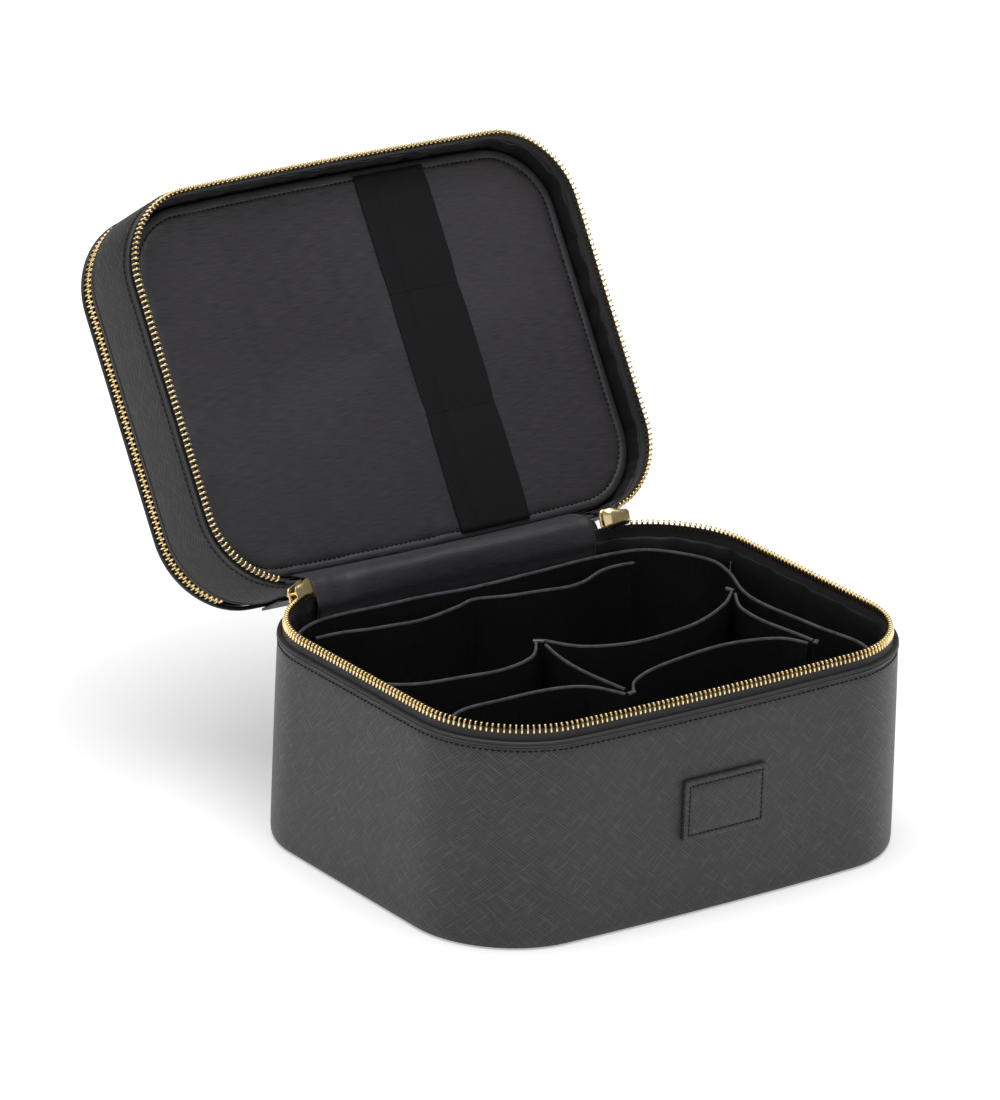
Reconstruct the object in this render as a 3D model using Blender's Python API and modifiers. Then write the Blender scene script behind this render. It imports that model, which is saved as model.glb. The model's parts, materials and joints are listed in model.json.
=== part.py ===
"""Makeup train case: a zipped leather case with a leather organiser and a
two-storey lid that stands open.

Frame: metres, +Z up, +X to the right along the front, +Y to the back. The
origin is the middle of the underside. The lid and its outer cover are drawn
shut, level with the case, and an empty on each hinge axis turns them.
"""
import math

import bmesh
import bpy
from mathutils import Matrix, Vector

# ---- driving dimensions -------------------------------------------------
HALF_WIDTH = 0.125
HALF_DEPTH = 0.095
CASE_BOW = 0.004
CORNER_TOP = 0.049
CORNER_BOTTOM = 0.046
RIM_HEIGHT = 0.0955

LID_HALF_WIDTH = 0.1225
LID_HALF_DEPTH = 0.0925
LID_BOW = 0.002
LID_CORNER = 0.038
LID_TEETH_HEIGHT = 0.1041
LID_OPENING = math.radians(123.06)
LID_AXIS = Vector((0.0, 0.0971, 0.1022))

SKIN = 0.0015
BOARD = 0.0016
FABRIC = 0.0009
GAP = 0.0003

CORNER_STEPS = 6
SIDE_STEPS = 2
LEFT_SLIDER_ANGLE = math.radians(22.0)
RIGHT_SLIDER_ANGLE = math.radians(8.8)
SLIDER_CLEARANCE = math.radians(9.5)
TEETH_INSET = 0.0039
TOOTH_DEPTH = 0.0020

ORGANISER_TOP = 0.090
POCKET_TOP = 0.085
ORGANISER_BOTTOM = 0.0069
DIVIDER = 0.0014

# heights of the lid's layers above its own teeth
PANEL_LEVEL = 0.0135
LID_BAND_LOW = 0.0075
LID_BAND_HIGH = 0.0382
OUTER_ZIP_LEVEL = 0.04535
COVER_FACE = 0.0514
COVER_AXIS = Vector((0.0, 0.0957, LID_TEETH_HEIGHT + OUTER_ZIP_LEVEL))

HANDLE_HALF_SPAN = 0.052
HANDLE_RISE = 0.030
HANDLE_PIVOT_RISE = 0.0065
HANDLE_AXIS = Vector((0.0, 0.0, LID_TEETH_HEIGHT + COVER_FACE + HANDLE_PIVOT_RISE))

SLIDER_LENGTH = 0.013
SLIDER_HALF_HEIGHT = 0.0034
PLATE = 0.0012
CHANNEL = 0.0034
BRIDGE_RISE = 0.0058
BRIDGE_BAR = 0.0005
PULL_RING = 0.0015
PULL_WIRE = 0.00045
PULL_LENGTH = 0.019
MAIN_SLIDER_HEIGHT = 0.1023
UPPER_SLIDER_X = 0.009

PATCH_SIZE = (0.045, 0.0285)
PATCH_CENTRE = (0.002, 0.0505)
PATCH_THICKNESS = 0.0018
STRAP_EDGES = (0.013, 0.052)


# ---- scene --------------------------------------------------------------
def clear_scene():
    for item in list(bpy.data.objects):
        bpy.data.objects.remove(item, do_unlink=True)


def new_collection(name):
    group = bpy.data.collections.new(name)
    bpy.context.scene.collection.children.link(group)
    return group


clear_scene()
CASE = new_collection("makeup_train_case")
TOOLS = new_collection("joining_pieces")


def material(name, colour, roughness, metallic=0.0):
    mat = bpy.data.materials.new(name)
    mat.use_nodes = True
    shader = mat.node_tree.nodes["Principled BSDF"]
    shader.inputs["Base Color"].default_value = (*colour, 1.0)
    shader.inputs["Roughness"].default_value = roughness
    shader.inputs["Metallic"].default_value = metallic
    return mat


LEATHER = material("crosshatch_leather", (0.030, 0.030, 0.032), 0.42)
PEBBLED = material("pebbled_leather", (0.016, 0.016, 0.018), 0.55)
SATIN = material("satin_lining", (0.050, 0.048, 0.056), 0.45)
ELASTIC = material("elastic_webbing", (0.022, 0.021, 0.024), 0.80)
TAPE = material("zip_tape", (0.012, 0.012, 0.013), 0.85)
GOLD = material("pale_gold_metal", (0.86, 0.70, 0.42), 0.22, 1.0)
GREYBOARD = material("grey_board", (0.30, 0.28, 0.25), 0.90)


# ---- hinge frames -------------------------------------------------------
class Frame:
    """An empty on a hinge axis, and where that axis is with everything shut."""

    def __init__(self, name, origin, parent=None, turn=0.0):
        self.origin = origin
        self.empty = bpy.data.objects.new(name, None)
        CASE.objects.link(self.empty)
        self.empty.location = origin
        if parent is not None:
            self.empty.parent = parent.empty
            self.empty.location = origin - parent.origin
        self.empty.rotation_euler.x = turn

    def hold(self, item):
        item.parent = self.empty
        item.location = item.location - self.origin
        return item


CASE_FRAME = Frame("case_origin", Vector((0.0, 0.0, 0.0)))
LID_FRAME = Frame("lid_axis", LID_AXIS, CASE_FRAME, -LID_OPENING)
COVER_FRAME = Frame("cover_axis", COVER_AXIS, LID_FRAME)


# ---- outlines -----------------------------------------------------------
def rounded_outline(half_w, half_d, radius, bow, start=0.0, stop=0.0):
    """Points from the back left corner round the front to the back right one.

    start and stop are angles past the straight back edge, so 0 and 0 give the
    whole outline, whose back edge closes it.
    """
    points = []
    corners = (
        (-1, 1, 90.0 + math.degrees(start), 180.0),
        (-1, -1, 180.0, 270.0),
        (1, -1, 270.0, 360.0),
        (1, 1, 0.0, 90.0 - math.degrees(stop)),
    )
    for side_x, side_y, first, last in corners:
        centre = Vector((side_x * (half_w - radius), side_y * (half_d - radius)))
        for step in range(CORNER_STEPS + 1):
            angle = math.radians(first + (last - first) * step / CORNER_STEPS)
            points.append(centre + radius * Vector((math.cos(angle), math.sin(angle))))
    dense = []
    count = len(points)
    per_corner = CORNER_STEPS + 1
    for index, point in enumerate(points):
        dense.append(point)
        last_point = index == count - 1
        closed_end = start == 0.0 and stop == 0.0
        if (index + 1) % per_corner or (last_point and not closed_end):
            continue
        following = points[(index + 1) % count]
        for step in range(1, SIDE_STEPS + 1):
            dense.append(point.lerp(following, step / (SIDE_STEPS + 1)))
    bowed = []
    for point in dense:
        shift = bow * (point.y / half_d) * (1.0 - (point.x / half_w) ** 2)
        bowed.append(Vector((point.x, point.y + shift)))
    return bowed


def case_outline(inset, height, start=0.0, stop=0.0):
    share = min(max(height / RIM_HEIGHT, 0.0), 1.0)
    radius = CORNER_BOTTOM + (CORNER_TOP - CORNER_BOTTOM) * share
    flat = rounded_outline(
        HALF_WIDTH - inset, HALF_DEPTH - inset, radius - inset, CASE_BOW, start, stop
    )
    return [Vector((p.x, p.y, height)) for p in flat]


def lid_outline(inset, level, start=0.0, stop=0.0):
    flat = rounded_outline(
        LID_HALF_WIDTH - inset,
        LID_HALF_DEPTH - inset,
        LID_CORNER - inset,
        LID_BOW,
        start,
        stop,
    )
    return [Vector((p.x, p.y, LID_TEETH_HEIGHT + level)) for p in flat]


def smooth_path(points, closed=False, steps=3):
    """A Catmull-Rom curve through plan points given in millimetres."""
    knots = [Vector(p) * 0.001 for p in points]
    count = len(knots)
    spans = count if closed else count - 1
    path = []
    for index in range(spans):
        if closed:
            before, after = knots[index - 1], knots[(index + 2) % count]
        else:
            before, after = knots[max(index - 1, 0)], knots[min(index + 2, count - 1)]
        here, there = knots[index], knots[(index + 1) % count]
        for step in range(steps):
            t = step / steps
            path.append(
                0.5
                * (
                    2.0 * here
                    + (there - before) * t
                    + (2.0 * before - 5.0 * here + 4.0 * there - after) * t**2
                    + (3.0 * here - before - 3.0 * there + after) * t**3
                )
            )
    if not closed:
        path.append(knots[-1])
    return path


# ---- builders -----------------------------------------------------------
def add_object(name, mesh, mat, frame=CASE_FRAME):
    item = bpy.data.objects.new(name, mesh)
    if not mesh.materials:
        mesh.materials.append(mat)
    CASE.objects.link(item)
    return frame.hold(item)


def wall(name, loops, thickness, mat, closed=True, frame=CASE_FRAME, offset=0.0):
    """An upright surface through a stack of loops, thickened by Solidify."""
    mesh = bpy.data.meshes.new(name)
    bm = bmesh.new()
    rows = [[bm.verts.new(point) for point in loop] for loop in loops]
    count = len(rows[0])
    spans = count if closed else count - 1
    for low, high in zip(rows, rows[1:]):
        for index in range(spans):
            after = (index + 1) % count
            bm.faces.new((low[index], low[after], high[after], high[index]))
    bm.normal_update()
    bm.to_mesh(mesh)
    bm.free()
    item = add_object(name, mesh, mat, frame)
    solid = item.modifiers.new("thickness", "SOLIDIFY")
    solid.thickness = thickness
    solid.offset = offset
    solid.use_even_offset = True
    mesh.shade_smooth()
    mesh.set_sharp_from_angle(angle=math.radians(35))
    return item


def band(name, outline, mid_inset, low, high, thickness, mat, **options):
    """A ring of constant inset between two heights."""
    ends = options.pop("ends", (0.0, 0.0))
    loops = [outline(mid_inset, low, *ends), outline(mid_inset, high, *ends)]
    return wall(name, loops, thickness, mat, closed=ends == (0.0, 0.0), **options)


def slab(name, outline, low, high, mat, frame=CASE_FRAME):
    """A flat panel with a filled outline."""
    curve = bpy.data.curves.new(name, "CURVE")
    curve.dimensions = "2D"
    curve.fill_mode = "BOTH"
    curve.extrude = (high - low) / 2.0
    spline = curve.splines.new("POLY")
    spline.points.add(len(outline) - 1)
    for target, point in zip(spline.points, outline):
        target.co = (point.x, point.y, 0.0, 1.0)
    spline.use_cyclic_u = True
    curve.materials.append(mat)
    item = bpy.data.objects.new(name, curve)
    item.location.z = (low + high) / 2.0
    CASE.objects.link(item)
    return frame.hold(item)


def box_mesh(name, size, centre, mat):
    mesh = bpy.data.meshes.new(name)
    bm = bmesh.new()
    bmesh.ops.create_cube(bm, size=1.0)
    bmesh.ops.scale(bm, vec=size, verts=bm.verts)
    bmesh.ops.translate(bm, vec=centre, verts=bm.verts)
    bm.to_mesh(mesh)
    bm.free()
    mesh.materials.append(mat)
    return mesh


def rod_mesh(name, radius, length, centre, mat, sides=10):
    """A round bar along X."""
    mesh = bpy.data.meshes.new(name)
    bm = bmesh.new()
    bmesh.ops.create_cone(
        bm, cap_ends=True, segments=sides, radius1=radius, radius2=radius, depth=length
    )
    bmesh.ops.rotate(bm, matrix=Matrix.Rotation(math.pi / 2, 3, "Y"), verts=bm.verts)
    bmesh.ops.translate(bm, vec=centre, verts=bm.verts)
    bm.to_mesh(mesh)
    bm.free()
    mesh.materials.append(mat)
    return mesh


def joined_mesh(name, meshes):
    """One closed body from overlapping meshes, by EXACT unions."""
    base = bpy.data.objects.new(name, meshes[0])
    TOOLS.objects.link(base)
    helpers = []
    for mesh in meshes[1:]:
        helper = bpy.data.objects.new(mesh.name, mesh)
        helper.hide_render = True
        helper.display_type = "WIRE"
        TOOLS.objects.link(helper)
        helpers.append(helper)
        union = base.modifiers.new("union", "BOOLEAN")
        union.operation = "UNION"
        union.solver = "EXACT"
        union.object = helper
    bpy.context.view_layer.update()
    graph = bpy.context.evaluated_depsgraph_get()
    result = bpy.data.meshes.new_from_object(base.evaluated_get(graph))
    result.name = name
    for helper in [base, *helpers]:
        bpy.data.objects.remove(helper, do_unlink=True)
    return result


# ---- the case -----------------------------------------------------------
def build_shell():
    wall_low, wall_high = 0.0016, 0.0935
    band("outer_wall", case_outline, SKIN / 2, wall_low, wall_high, SKIN, LEATHER)
    slab("base_panel", case_outline(0.003, 0.0), 0.0, 0.0013, LEATHER)
    slab("base_board", case_outline(0.0022, 0.0), 0.0016, 0.0035, GREYBOARD)
    board_inset = SKIN + GAP + BOARD / 2
    band("wall_board", case_outline, board_inset, 0.0038, 0.0890, BOARD, GREYBOARD)
    lining_inset = SKIN + BOARD + 2 * GAP + FABRIC / 2
    build_lining_tub("body_lining", lining_inset, 0.0038 + FABRIC / 2, 0.0950)


def build_lining_tub(name, inset, low, high):
    """An open-topped tub: a floor and a wall in one thickened surface."""
    mesh = bpy.data.meshes.new(name)
    bm = bmesh.new()
    floor = [bm.verts.new(point) for point in case_outline(inset, low)]
    brim = [bm.verts.new(point) for point in case_outline(inset, high)]
    bm.faces.new(floor[::-1])
    for index in range(len(floor)):
        after = (index + 1) % len(floor)
        bm.faces.new((floor[index], floor[after], brim[after], brim[index]))
    bm.normal_update()
    bm.to_mesh(mesh)
    bm.free()
    item = add_object(name, mesh, SATIN)
    solid = item.modifiers.new("thickness", "SOLIDIFY")
    solid.thickness = FABRIC
    solid.offset = 0.0
    solid.use_even_offset = True


def build_rim():
    """Binding round the top edge, and the lower half of the main zip."""
    ends = (LEFT_SLIDER_ANGLE + SLIDER_CLEARANCE, RIGHT_SLIDER_ANGLE + SLIDER_CLEARANCE)
    band("rim_binding", case_outline, 0.0008, 0.0938, 0.0962, 0.0022, LEATHER)
    tape = [case_outline(0.0014, 0.0965, *ends), case_outline(0.0034, 0.0999, *ends)]
    wall("rim_tape", tape, 0.0007, TAPE, closed=False)
    band(
        "rim_teeth", case_outline, TEETH_INSET, 0.1003, 0.1026, TOOTH_DEPTH, GOLD, ends=ends
    )


def build_patch():
    width, height = PATCH_SIZE
    front = -(HALF_DEPTH + CASE_BOW) - GAP - PATCH_THICKNESS / 2
    centre = (PATCH_CENTRE[0], front, PATCH_CENTRE[1])
    mesh = box_mesh("front_patch", (width, PATCH_THICKNESS, height), centre, LEATHER)
    add_object("front_patch", mesh, LEATHER)


ORGANISER_LOOP = (
    (0, 87.5), (-40, 89), (-68, 90.5), (-90, 86.5), (-106, 74), (-115, 50),
    (-116.5, 10), (-116, -40), (-106, -74), (-88, -87.5), (-60, -91), (0, -91.5),
    (60, -90.5), (86, -86.5), (102, -73), (107.5, -56), (103, -30), (100, 0),
    (102, 20), (110.5, 42), (113.5, 60), (105, 76), (91, 86.5), (64, 90), (36, 87.5),
)
BACK_POCKETS = (
    (-90.5, 81.5), (-75, 82.5), (-58, 78), (-38, 76), (-14, 81), (0, 85.2),
    (20, 79), (40, 76), (55, 78.5), (70, 84), (88, 84.2),
)
DIVIDERS = {
    "divider_rear_left": (
        (-114.2, 23), (-104, 12), (-88, 3.5), (-66, -1), (-46, -1.5), (-28, 3.5), (-16.4, 16.5),
    ),
    "divider_rear_right": (
        (-12.2, 16.5), (-3, 3), (15, -4), (36, -5), (61, -1), (84, 11), (98.3, 23.4),
    ),
    "divider_centre": ((-14.5, 12.0), (-17.5, -2), (-18.5, -18), (-17.5, -36), (-16.2, -49.5)),
    "divider_right": ((96.2, 18.4), (89, 5), (87.5, -12), (89, -32), (90.4, -46.5)),
    "divider_front_right": (
        (87.6, -46.5), (80, -35.5), (62, -29.5), (38, -30), (14, -34.5), (-5, -42), (-14.4, -53.5),
    ),
    "divider_front_left": (
        (-18.2, -53.5), (-28, -38.5), (-48, -31.5), (-70, -30), (-94, -33.5), (-112.4, -46),
    ),
}
FRONT_POCKET = (
    (-62, -88.6), (-48, -79), (-32, -68.5), (-12, -61.5),
    (8, -60.5), (36, -66), (64, -75), (86, -82),
)


def strip(name, points, top, mat=PEBBLED, closed=False, steps=3):
    """A leather strip standing on its edge along a plan path."""
    plan = smooth_path(points, closed, steps)
    loops = []
    for height in (ORGANISER_BOTTOM, top):
        loops.append([Vector((p.x, p.y, height)) for p in plan])
    wall(name, loops, DIVIDER, mat, closed=closed)


def build_organiser():
    slab("organiser_floor", case_outline(0.0056, 0.0), 0.0051, 0.0066, PEBBLED)
    strip("organiser_wall", ORGANISER_LOOP, ORGANISER_TOP, closed=True, steps=2)
    strip("back_pockets", BACK_POCKETS, POCKET_TOP, steps=2)
    strip("front_pocket", FRONT_POCKET, POCKET_TOP, steps=2)
    for name, points in DIVIDERS.items():
        strip(name, points, ORGANISER_TOP, steps=2)


# ---- hinges of leather and satin ---------------------------------------
def back_strip(name, outline_y, inset, low, high, thickness, mat, frame=CASE_FRAME):
    """A strip along the straight back edge, following its bow."""
    left, right, count = -0.078, 0.072, 7
    loops = []
    for height in (low, high):
        row = []
        for step in range(count):
            x = left + (right - left) * step / (count - 1)
            row.append(Vector((x, outline_y(x) - inset, height)))
        loops.append(row)
    wall(name, loops, thickness, mat, closed=False, frame=frame)


def case_back(x):
    return HALF_DEPTH + CASE_BOW * (1.0 - (x / HALF_WIDTH) ** 2)


def lid_back(x):
    return LID_HALF_DEPTH + LID_BOW * (1.0 - (x / LID_HALF_WIDTH) ** 2)


def build_hinges():
    outside = -0.0012
    base = LID_TEETH_HEIGHT
    back_strip("hinge_leather_case", case_back, outside, 0.0840, 0.0988, 0.0012, LEATHER)
    back_strip("hinge_lining_case", case_back, 0.0056, 0.0860, 0.0985, 0.0008, SATIN)
    back_strip(
        "hinge_leather_lid", lid_back, outside, base + 0.0035, base + 0.020, 0.0012, LEATHER,
        LID_FRAME,
    )
    back_strip(
        "hinge_lining_lid", lid_back, 0.0048, base + 0.003, base + 0.0128, 0.0008, SATIN,
        LID_FRAME,
    )
    back_strip(
        "cover_hinge_lid_side", lid_back, outside, base + 0.034, base + 0.0440, 0.0012, LEATHER,
        LID_FRAME,
    )
    back_strip(
        "cover_hinge_cover_side", lid_back, outside, base + 0.0468, base + 0.0505, 0.0012,
        LEATHER, COVER_FRAME,
    )


# ---- the lid ------------------------------------------------------------
def zip_ends():
    return (LEFT_SLIDER_ANGLE + SLIDER_CLEARANCE, RIGHT_SLIDER_ANGLE + SLIDER_CLEARANCE)


def lid_ring(name, mid_inset, low, high, thickness, mat, ends=(0.0, 0.0), frame=LID_FRAME):
    band(name, lid_outline, mid_inset, low, high, thickness, mat, ends=ends, frame=frame)


def lid_slab(name, inset, low, high, mat, frame=LID_FRAME):
    base = LID_TEETH_HEIGHT
    slab(name, lid_outline(inset, 0.0), base + low, base + high, mat, frame)


def build_lid():
    ends = zip_ends()
    lid_ring("lid_teeth", 0.0015, -0.0011, 0.0012, TOOTH_DEPTH, GOLD, ends)
    lid_ring("lid_tape", 0.0013, 0.0015, 0.0049, 0.0007, TAPE, ends)
    lid_ring("lid_binding", 0.0008, 0.0052, 0.0072, 0.0022, LEATHER)
    lid_ring("lid_band", SKIN / 2, LID_BAND_LOW, LID_BAND_HIGH, SKIN, LEATHER)
    lid_ring("lid_band_board", 0.0024, 0.0085, 0.0370, 0.0012, GREYBOARD)
    lid_ring("lid_gusset", 0.00375, 0.0052, 0.0382, FABRIC, SATIN)
    lid_ring("lid_outer_binding", 0.0008, 0.0385, 0.0405, 0.0022, LEATHER)
    lid_ring("lid_outer_tape", 0.0013, 0.0408, 0.0429, 0.0007, TAPE, ends)
    lid_ring("lid_outer_teeth", 0.0015, 0.0432, 0.0446, TOOTH_DEPTH, GOLD, ends)
    lid_slab("lid_panel", 0.0056, PANEL_LEVEL, 0.0170, SATIN)
    lid_slab("lid_panel_board", 0.0056, 0.0173, 0.0188, GREYBOARD)
    lid_slab("compartment_lining", 0.0056, 0.0191, 0.0199, SATIN)
    build_strap()


def build_strap():
    left, right = STRAP_EDGES
    size = (right - left, 0.172, 0.0012)
    centre = ((left + right) / 2.0, 0.0, LID_TEETH_HEIGHT + PANEL_LEVEL - GAP - size[2] / 2)
    mesh = box_mesh("brush_strap", size, centre, ELASTIC)
    add_object("brush_strap", mesh, ELASTIC, LID_FRAME)


def build_cover():
    ends = zip_ends()
    lid_ring("cover_teeth", 0.0015, 0.0460, 0.0474, TOOTH_DEPTH, GOLD, ends, COVER_FRAME)
    lid_ring("cover_tape", 0.0013, 0.0477, 0.0486, 0.0007, TAPE, ends, COVER_FRAME)
    lid_ring("cover_binding", 0.0008, 0.0489, 0.0507, 0.0022, LEATHER, frame=COVER_FRAME)
    lid_slab("cover_panel", 0.0023, 0.0499, COVER_FACE, LEATHER, COVER_FRAME)
    lid_slab("cover_board", 0.0056, 0.0480, 0.0496, GREYBOARD, COVER_FRAME)
    lid_slab("cover_lining", 0.0056, 0.0469, 0.0477, SATIN, COVER_FRAME)


# ---- sliders and pulls --------------------------------------------------
def slider_mesh():
    """Two plates on a thin post, with a bridge outside; slides along X."""
    plate_y = (CHANNEL + PLATE) / 2
    height = 2 * SLIDER_HALF_HEIGHT
    foot_depth = BRIDGE_RISE + 0.0006 - CHANNEL / 2
    foot_y = CHANNEL / 2 + foot_depth / 2
    foot = (0.0012, foot_depth, 0.0018)
    plate = (SLIDER_LENGTH, PLATE, height)
    pieces = [
        box_mesh("outer_plate", plate, (0.0, plate_y, 0.0), GOLD),
        box_mesh("inner_plate", plate, (0.0, -plate_y, 0.0), GOLD),
        box_mesh("post", (0.003, CHANNEL + PLATE, 0.0008), (-0.0035, 0.0, 0.0), GOLD),
        box_mesh("front_foot", foot, (-0.0036, foot_y, 0.0), GOLD),
        box_mesh("rear_foot", foot, (0.0036, foot_y, 0.0), GOLD),
        rod_mesh("bridge_bar", BRIDGE_BAR, 0.0072, (0.0, BRIDGE_RISE, 0.0), GOLD),
    ]
    return joined_mesh("slider", pieces)


def pull_mesh():
    """A ring round the bridge bar with a flat tab hanging from it."""
    ring = bpy.data.meshes.new("pull_ring")
    bm = bmesh.new()
    segments, sides = 14, 6
    grid = []
    for index in range(segments):
        angle = 2 * math.pi * index / segments
        row = []
        for side in range(sides):
            around = 2 * math.pi * side / sides
            reach = PULL_RING + PULL_WIRE * math.cos(around)
            point = (
                PULL_WIRE * math.sin(around),
                reach * math.sin(angle),
                reach * math.cos(angle),
            )
            row.append(bm.verts.new(point))
        grid.append(row)
    for index in range(segments):
        for side in range(sides):
            a, b = grid[index], grid[(index + 1) % segments]
            c = (side + 1) % sides
            bm.faces.new((a[side], b[side], b[c], a[c]))
    bmesh.ops.recalc_face_normals(bm, faces=bm.faces)
    bm.to_mesh(ring)
    bm.free()
    ring.materials.append(GOLD)
    neck_top = -PULL_RING
    tab_top = neck_top - 0.0022
    neck_length = neck_top - tab_top + 0.0004
    neck = box_mesh("neck", (0.0012, 0.0010, neck_length), (0, 0, tab_top + neck_length / 2), GOLD)
    tab_centre = (0.0, 0.0, (tab_top - PULL_LENGTH) / 2)
    tab = box_mesh("tab", (0.0052, 0.0012, PULL_LENGTH + tab_top), tab_centre, GOLD)
    return joined_mesh("pull", [ring, neck, tab])


def main_slider_place(side, angle):
    """Middle of the teeth on a back corner, and the turn of the rim there."""
    radius = CORNER_TOP - TEETH_INSET
    half_w, half_d = HALF_WIDTH - TEETH_INSET, HALF_DEPTH - TEETH_INSET
    x = half_w - radius + radius * math.sin(angle)
    y = half_d - radius + radius * math.cos(angle)
    y += CASE_BOW * (y / half_d) * (1.0 - (x / half_w) ** 2)
    return Vector((side * x, y, MAIN_SLIDER_HEIGHT)), Matrix.Rotation(-side * angle, 4, "Z")


def build_main_sliders(slider, pull):
    corners = (("left", -1, LEFT_SLIDER_ANGLE), ("right", 1, RIGHT_SLIDER_ANGLE))
    for label, side, angle in corners:
        place, turn = main_slider_place(side, angle)
        item = add_object(f"main_slider_{label}", slider, GOLD)
        item.location = place
        item.rotation_euler = turn.to_euler()
        hanging = add_object(f"main_pull_{label}", pull, GOLD)
        hanging.location = place + turn @ Vector((0.0, BRIDGE_RISE, 0.0))
        hanging.rotation_euler = turn.to_euler()


def build_upper_sliders(slider, pull):
    """The pair that closes the outer compartment, meeting at the front middle."""
    teeth_y = -(LID_HALF_DEPTH + LID_BOW - 0.0015) + 0.00015
    height = LID_TEETH_HEIGHT + OUTER_ZIP_LEVEL - 0.00005
    for label, side in (("left", -1), ("right", 1)):
        item = add_object(f"upper_slider_{label}", slider, GOLD, LID_FRAME)
        place = Vector((side * UPPER_SLIDER_X, teeth_y, height))
        item.location = place - LID_FRAME.origin
        item.rotation_euler = (0.0, 0.0, math.pi)
        raised = add_object(f"upper_pull_{label}", pull, GOLD, LID_FRAME)
        raised.location = place - Vector((0.0, BRIDGE_RISE, 0.0)) - LID_FRAME.origin
        raised.rotation_euler = (math.pi, 0.0, 0.0)


# ---- handle -------------------------------------------------------------
def build_handle_brackets():
    """Two brass brackets on the cover, each with a bar between two ears."""
    face = LID_TEETH_HEIGHT + COVER_FACE + GAP
    top = HANDLE_AXIS.z + 0.0022
    for label, side in (("left", -1), ("right", 1)):
        x = side * HANDLE_HALF_SPAN
        plate = box_mesh("plate", (0.016, 0.012, 0.001), (x, 0.0, face + 0.0005), GOLD)
        parts = [plate]
        for ear_side in (-1, 1):
            ear_x = x + ear_side * 0.0058
            centre = (ear_x, 0.0, (face + top) / 2)
            parts.append(box_mesh("ear", (0.0014, 0.0052, top - face), centre, GOLD))
        parts.append(rod_mesh("bar", 0.0014, 0.0116, (x, 0.0, HANDLE_AXIS.z), GOLD))
        mesh = joined_mesh(f"handle_bracket_{label}", parts)
        add_object(f"handle_bracket_{label}", mesh, GOLD, COVER_FRAME)


def handle_grip_mesh():
    """A round grip that arches between the two brackets, as a closed tube."""
    curve = bpy.data.curves.new("handle_arch", "CURVE")
    curve.dimensions = "3D"
    curve.bevel_depth = 0.0042
    curve.bevel_resolution = 2
    curve.use_fill_caps = True
    spline = curve.splines.new("POLY")
    steps = 14
    spline.points.add(steps)
    for step in range(steps + 1):
        angle = math.pi * step / steps
        x = -HANDLE_HALF_SPAN * math.copysign(abs(math.cos(angle)) ** 0.7, math.cos(angle))
        z = HANDLE_RISE * math.sin(angle) ** 0.6 if 0 < step < steps else 0.0
        spline.points[step].co = (x, 0.0, z + 0.0030, 1.0)
    arch = bpy.data.objects.new("handle_arch", curve)
    TOOLS.objects.link(arch)
    bpy.context.view_layer.update()
    graph = bpy.context.evaluated_depsgraph_get()
    mesh = bpy.data.meshes.new_from_object(arch.evaluated_get(graph))
    bm = bmesh.new()
    bm.from_mesh(mesh)
    bmesh.ops.remove_doubles(bm, verts=bm.verts, dist=0.00002)
    bmesh.ops.recalc_face_normals(bm, faces=bm.faces)
    bm.to_mesh(mesh)
    bm.free()
    bpy.data.objects.remove(arch, do_unlink=True)
    return mesh


def eye_mesh(x):
    """A short tube round a bracket's bar."""
    mesh = bpy.data.meshes.new("eye")
    bm = bmesh.new()
    sides, inner, outer, half = 14, 0.0022, 0.0036, 0.0042
    rings = []
    for radius, end in ((inner, -half), (outer, -half), (outer, half), (inner, half)):
        ring = []
        for index in range(sides):
            angle = 2 * math.pi * index / sides
            point = (x + end, radius * math.sin(angle), radius * math.cos(angle))
            ring.append(bm.verts.new(point))
        rings.append(ring)
    for index in range(4):
        here, there = rings[index], rings[(index + 1) % 4]
        for side in range(sides):
            after = (side + 1) % sides
            bm.faces.new((here[side], here[after], there[after], there[side]))
    bmesh.ops.recalc_face_normals(bm, faces=bm.faces)
    bm.to_mesh(mesh)
    bm.free()
    return mesh


def build_handle():
    """The grip is drawn upright, then hangs straight down from the open lid."""
    hang = Frame("handle_axis", HANDLE_AXIS, COVER_FRAME, LID_OPENING - math.pi)
    pieces = [handle_grip_mesh(), eye_mesh(-HANDLE_HALF_SPAN), eye_mesh(HANDLE_HALF_SPAN)]
    mesh = joined_mesh("handle", pieces)
    mesh.materials.clear()
    item = add_object("handle", mesh, LEATHER, hang)
    item.location = (0.0, 0.0, 0.0)


# ---- the whole case -----------------------------------------------------
build_shell()
build_rim()
build_patch()
build_organiser()
build_hinges()
build_lid()
build_cover()
SLIDER = slider_mesh()
PULL = pull_mesh()
build_main_sliders(SLIDER, PULL)
build_upper_sliders(SLIDER, PULL)
build_handle_brackets()
build_handle()
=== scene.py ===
"""Looks of the makeup train case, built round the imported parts: leather, satin, zips and gold.

Everything is in metres in the parts' own frame. The lid is drawn shut, level with the case, and
then turned open about the lid hinge, so that one set of outlines serves both halves.
"""

import json
import math
import random

import bmesh
import bpy
import numpy as np
from mathutils import Matrix, Vector, noise


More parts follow.
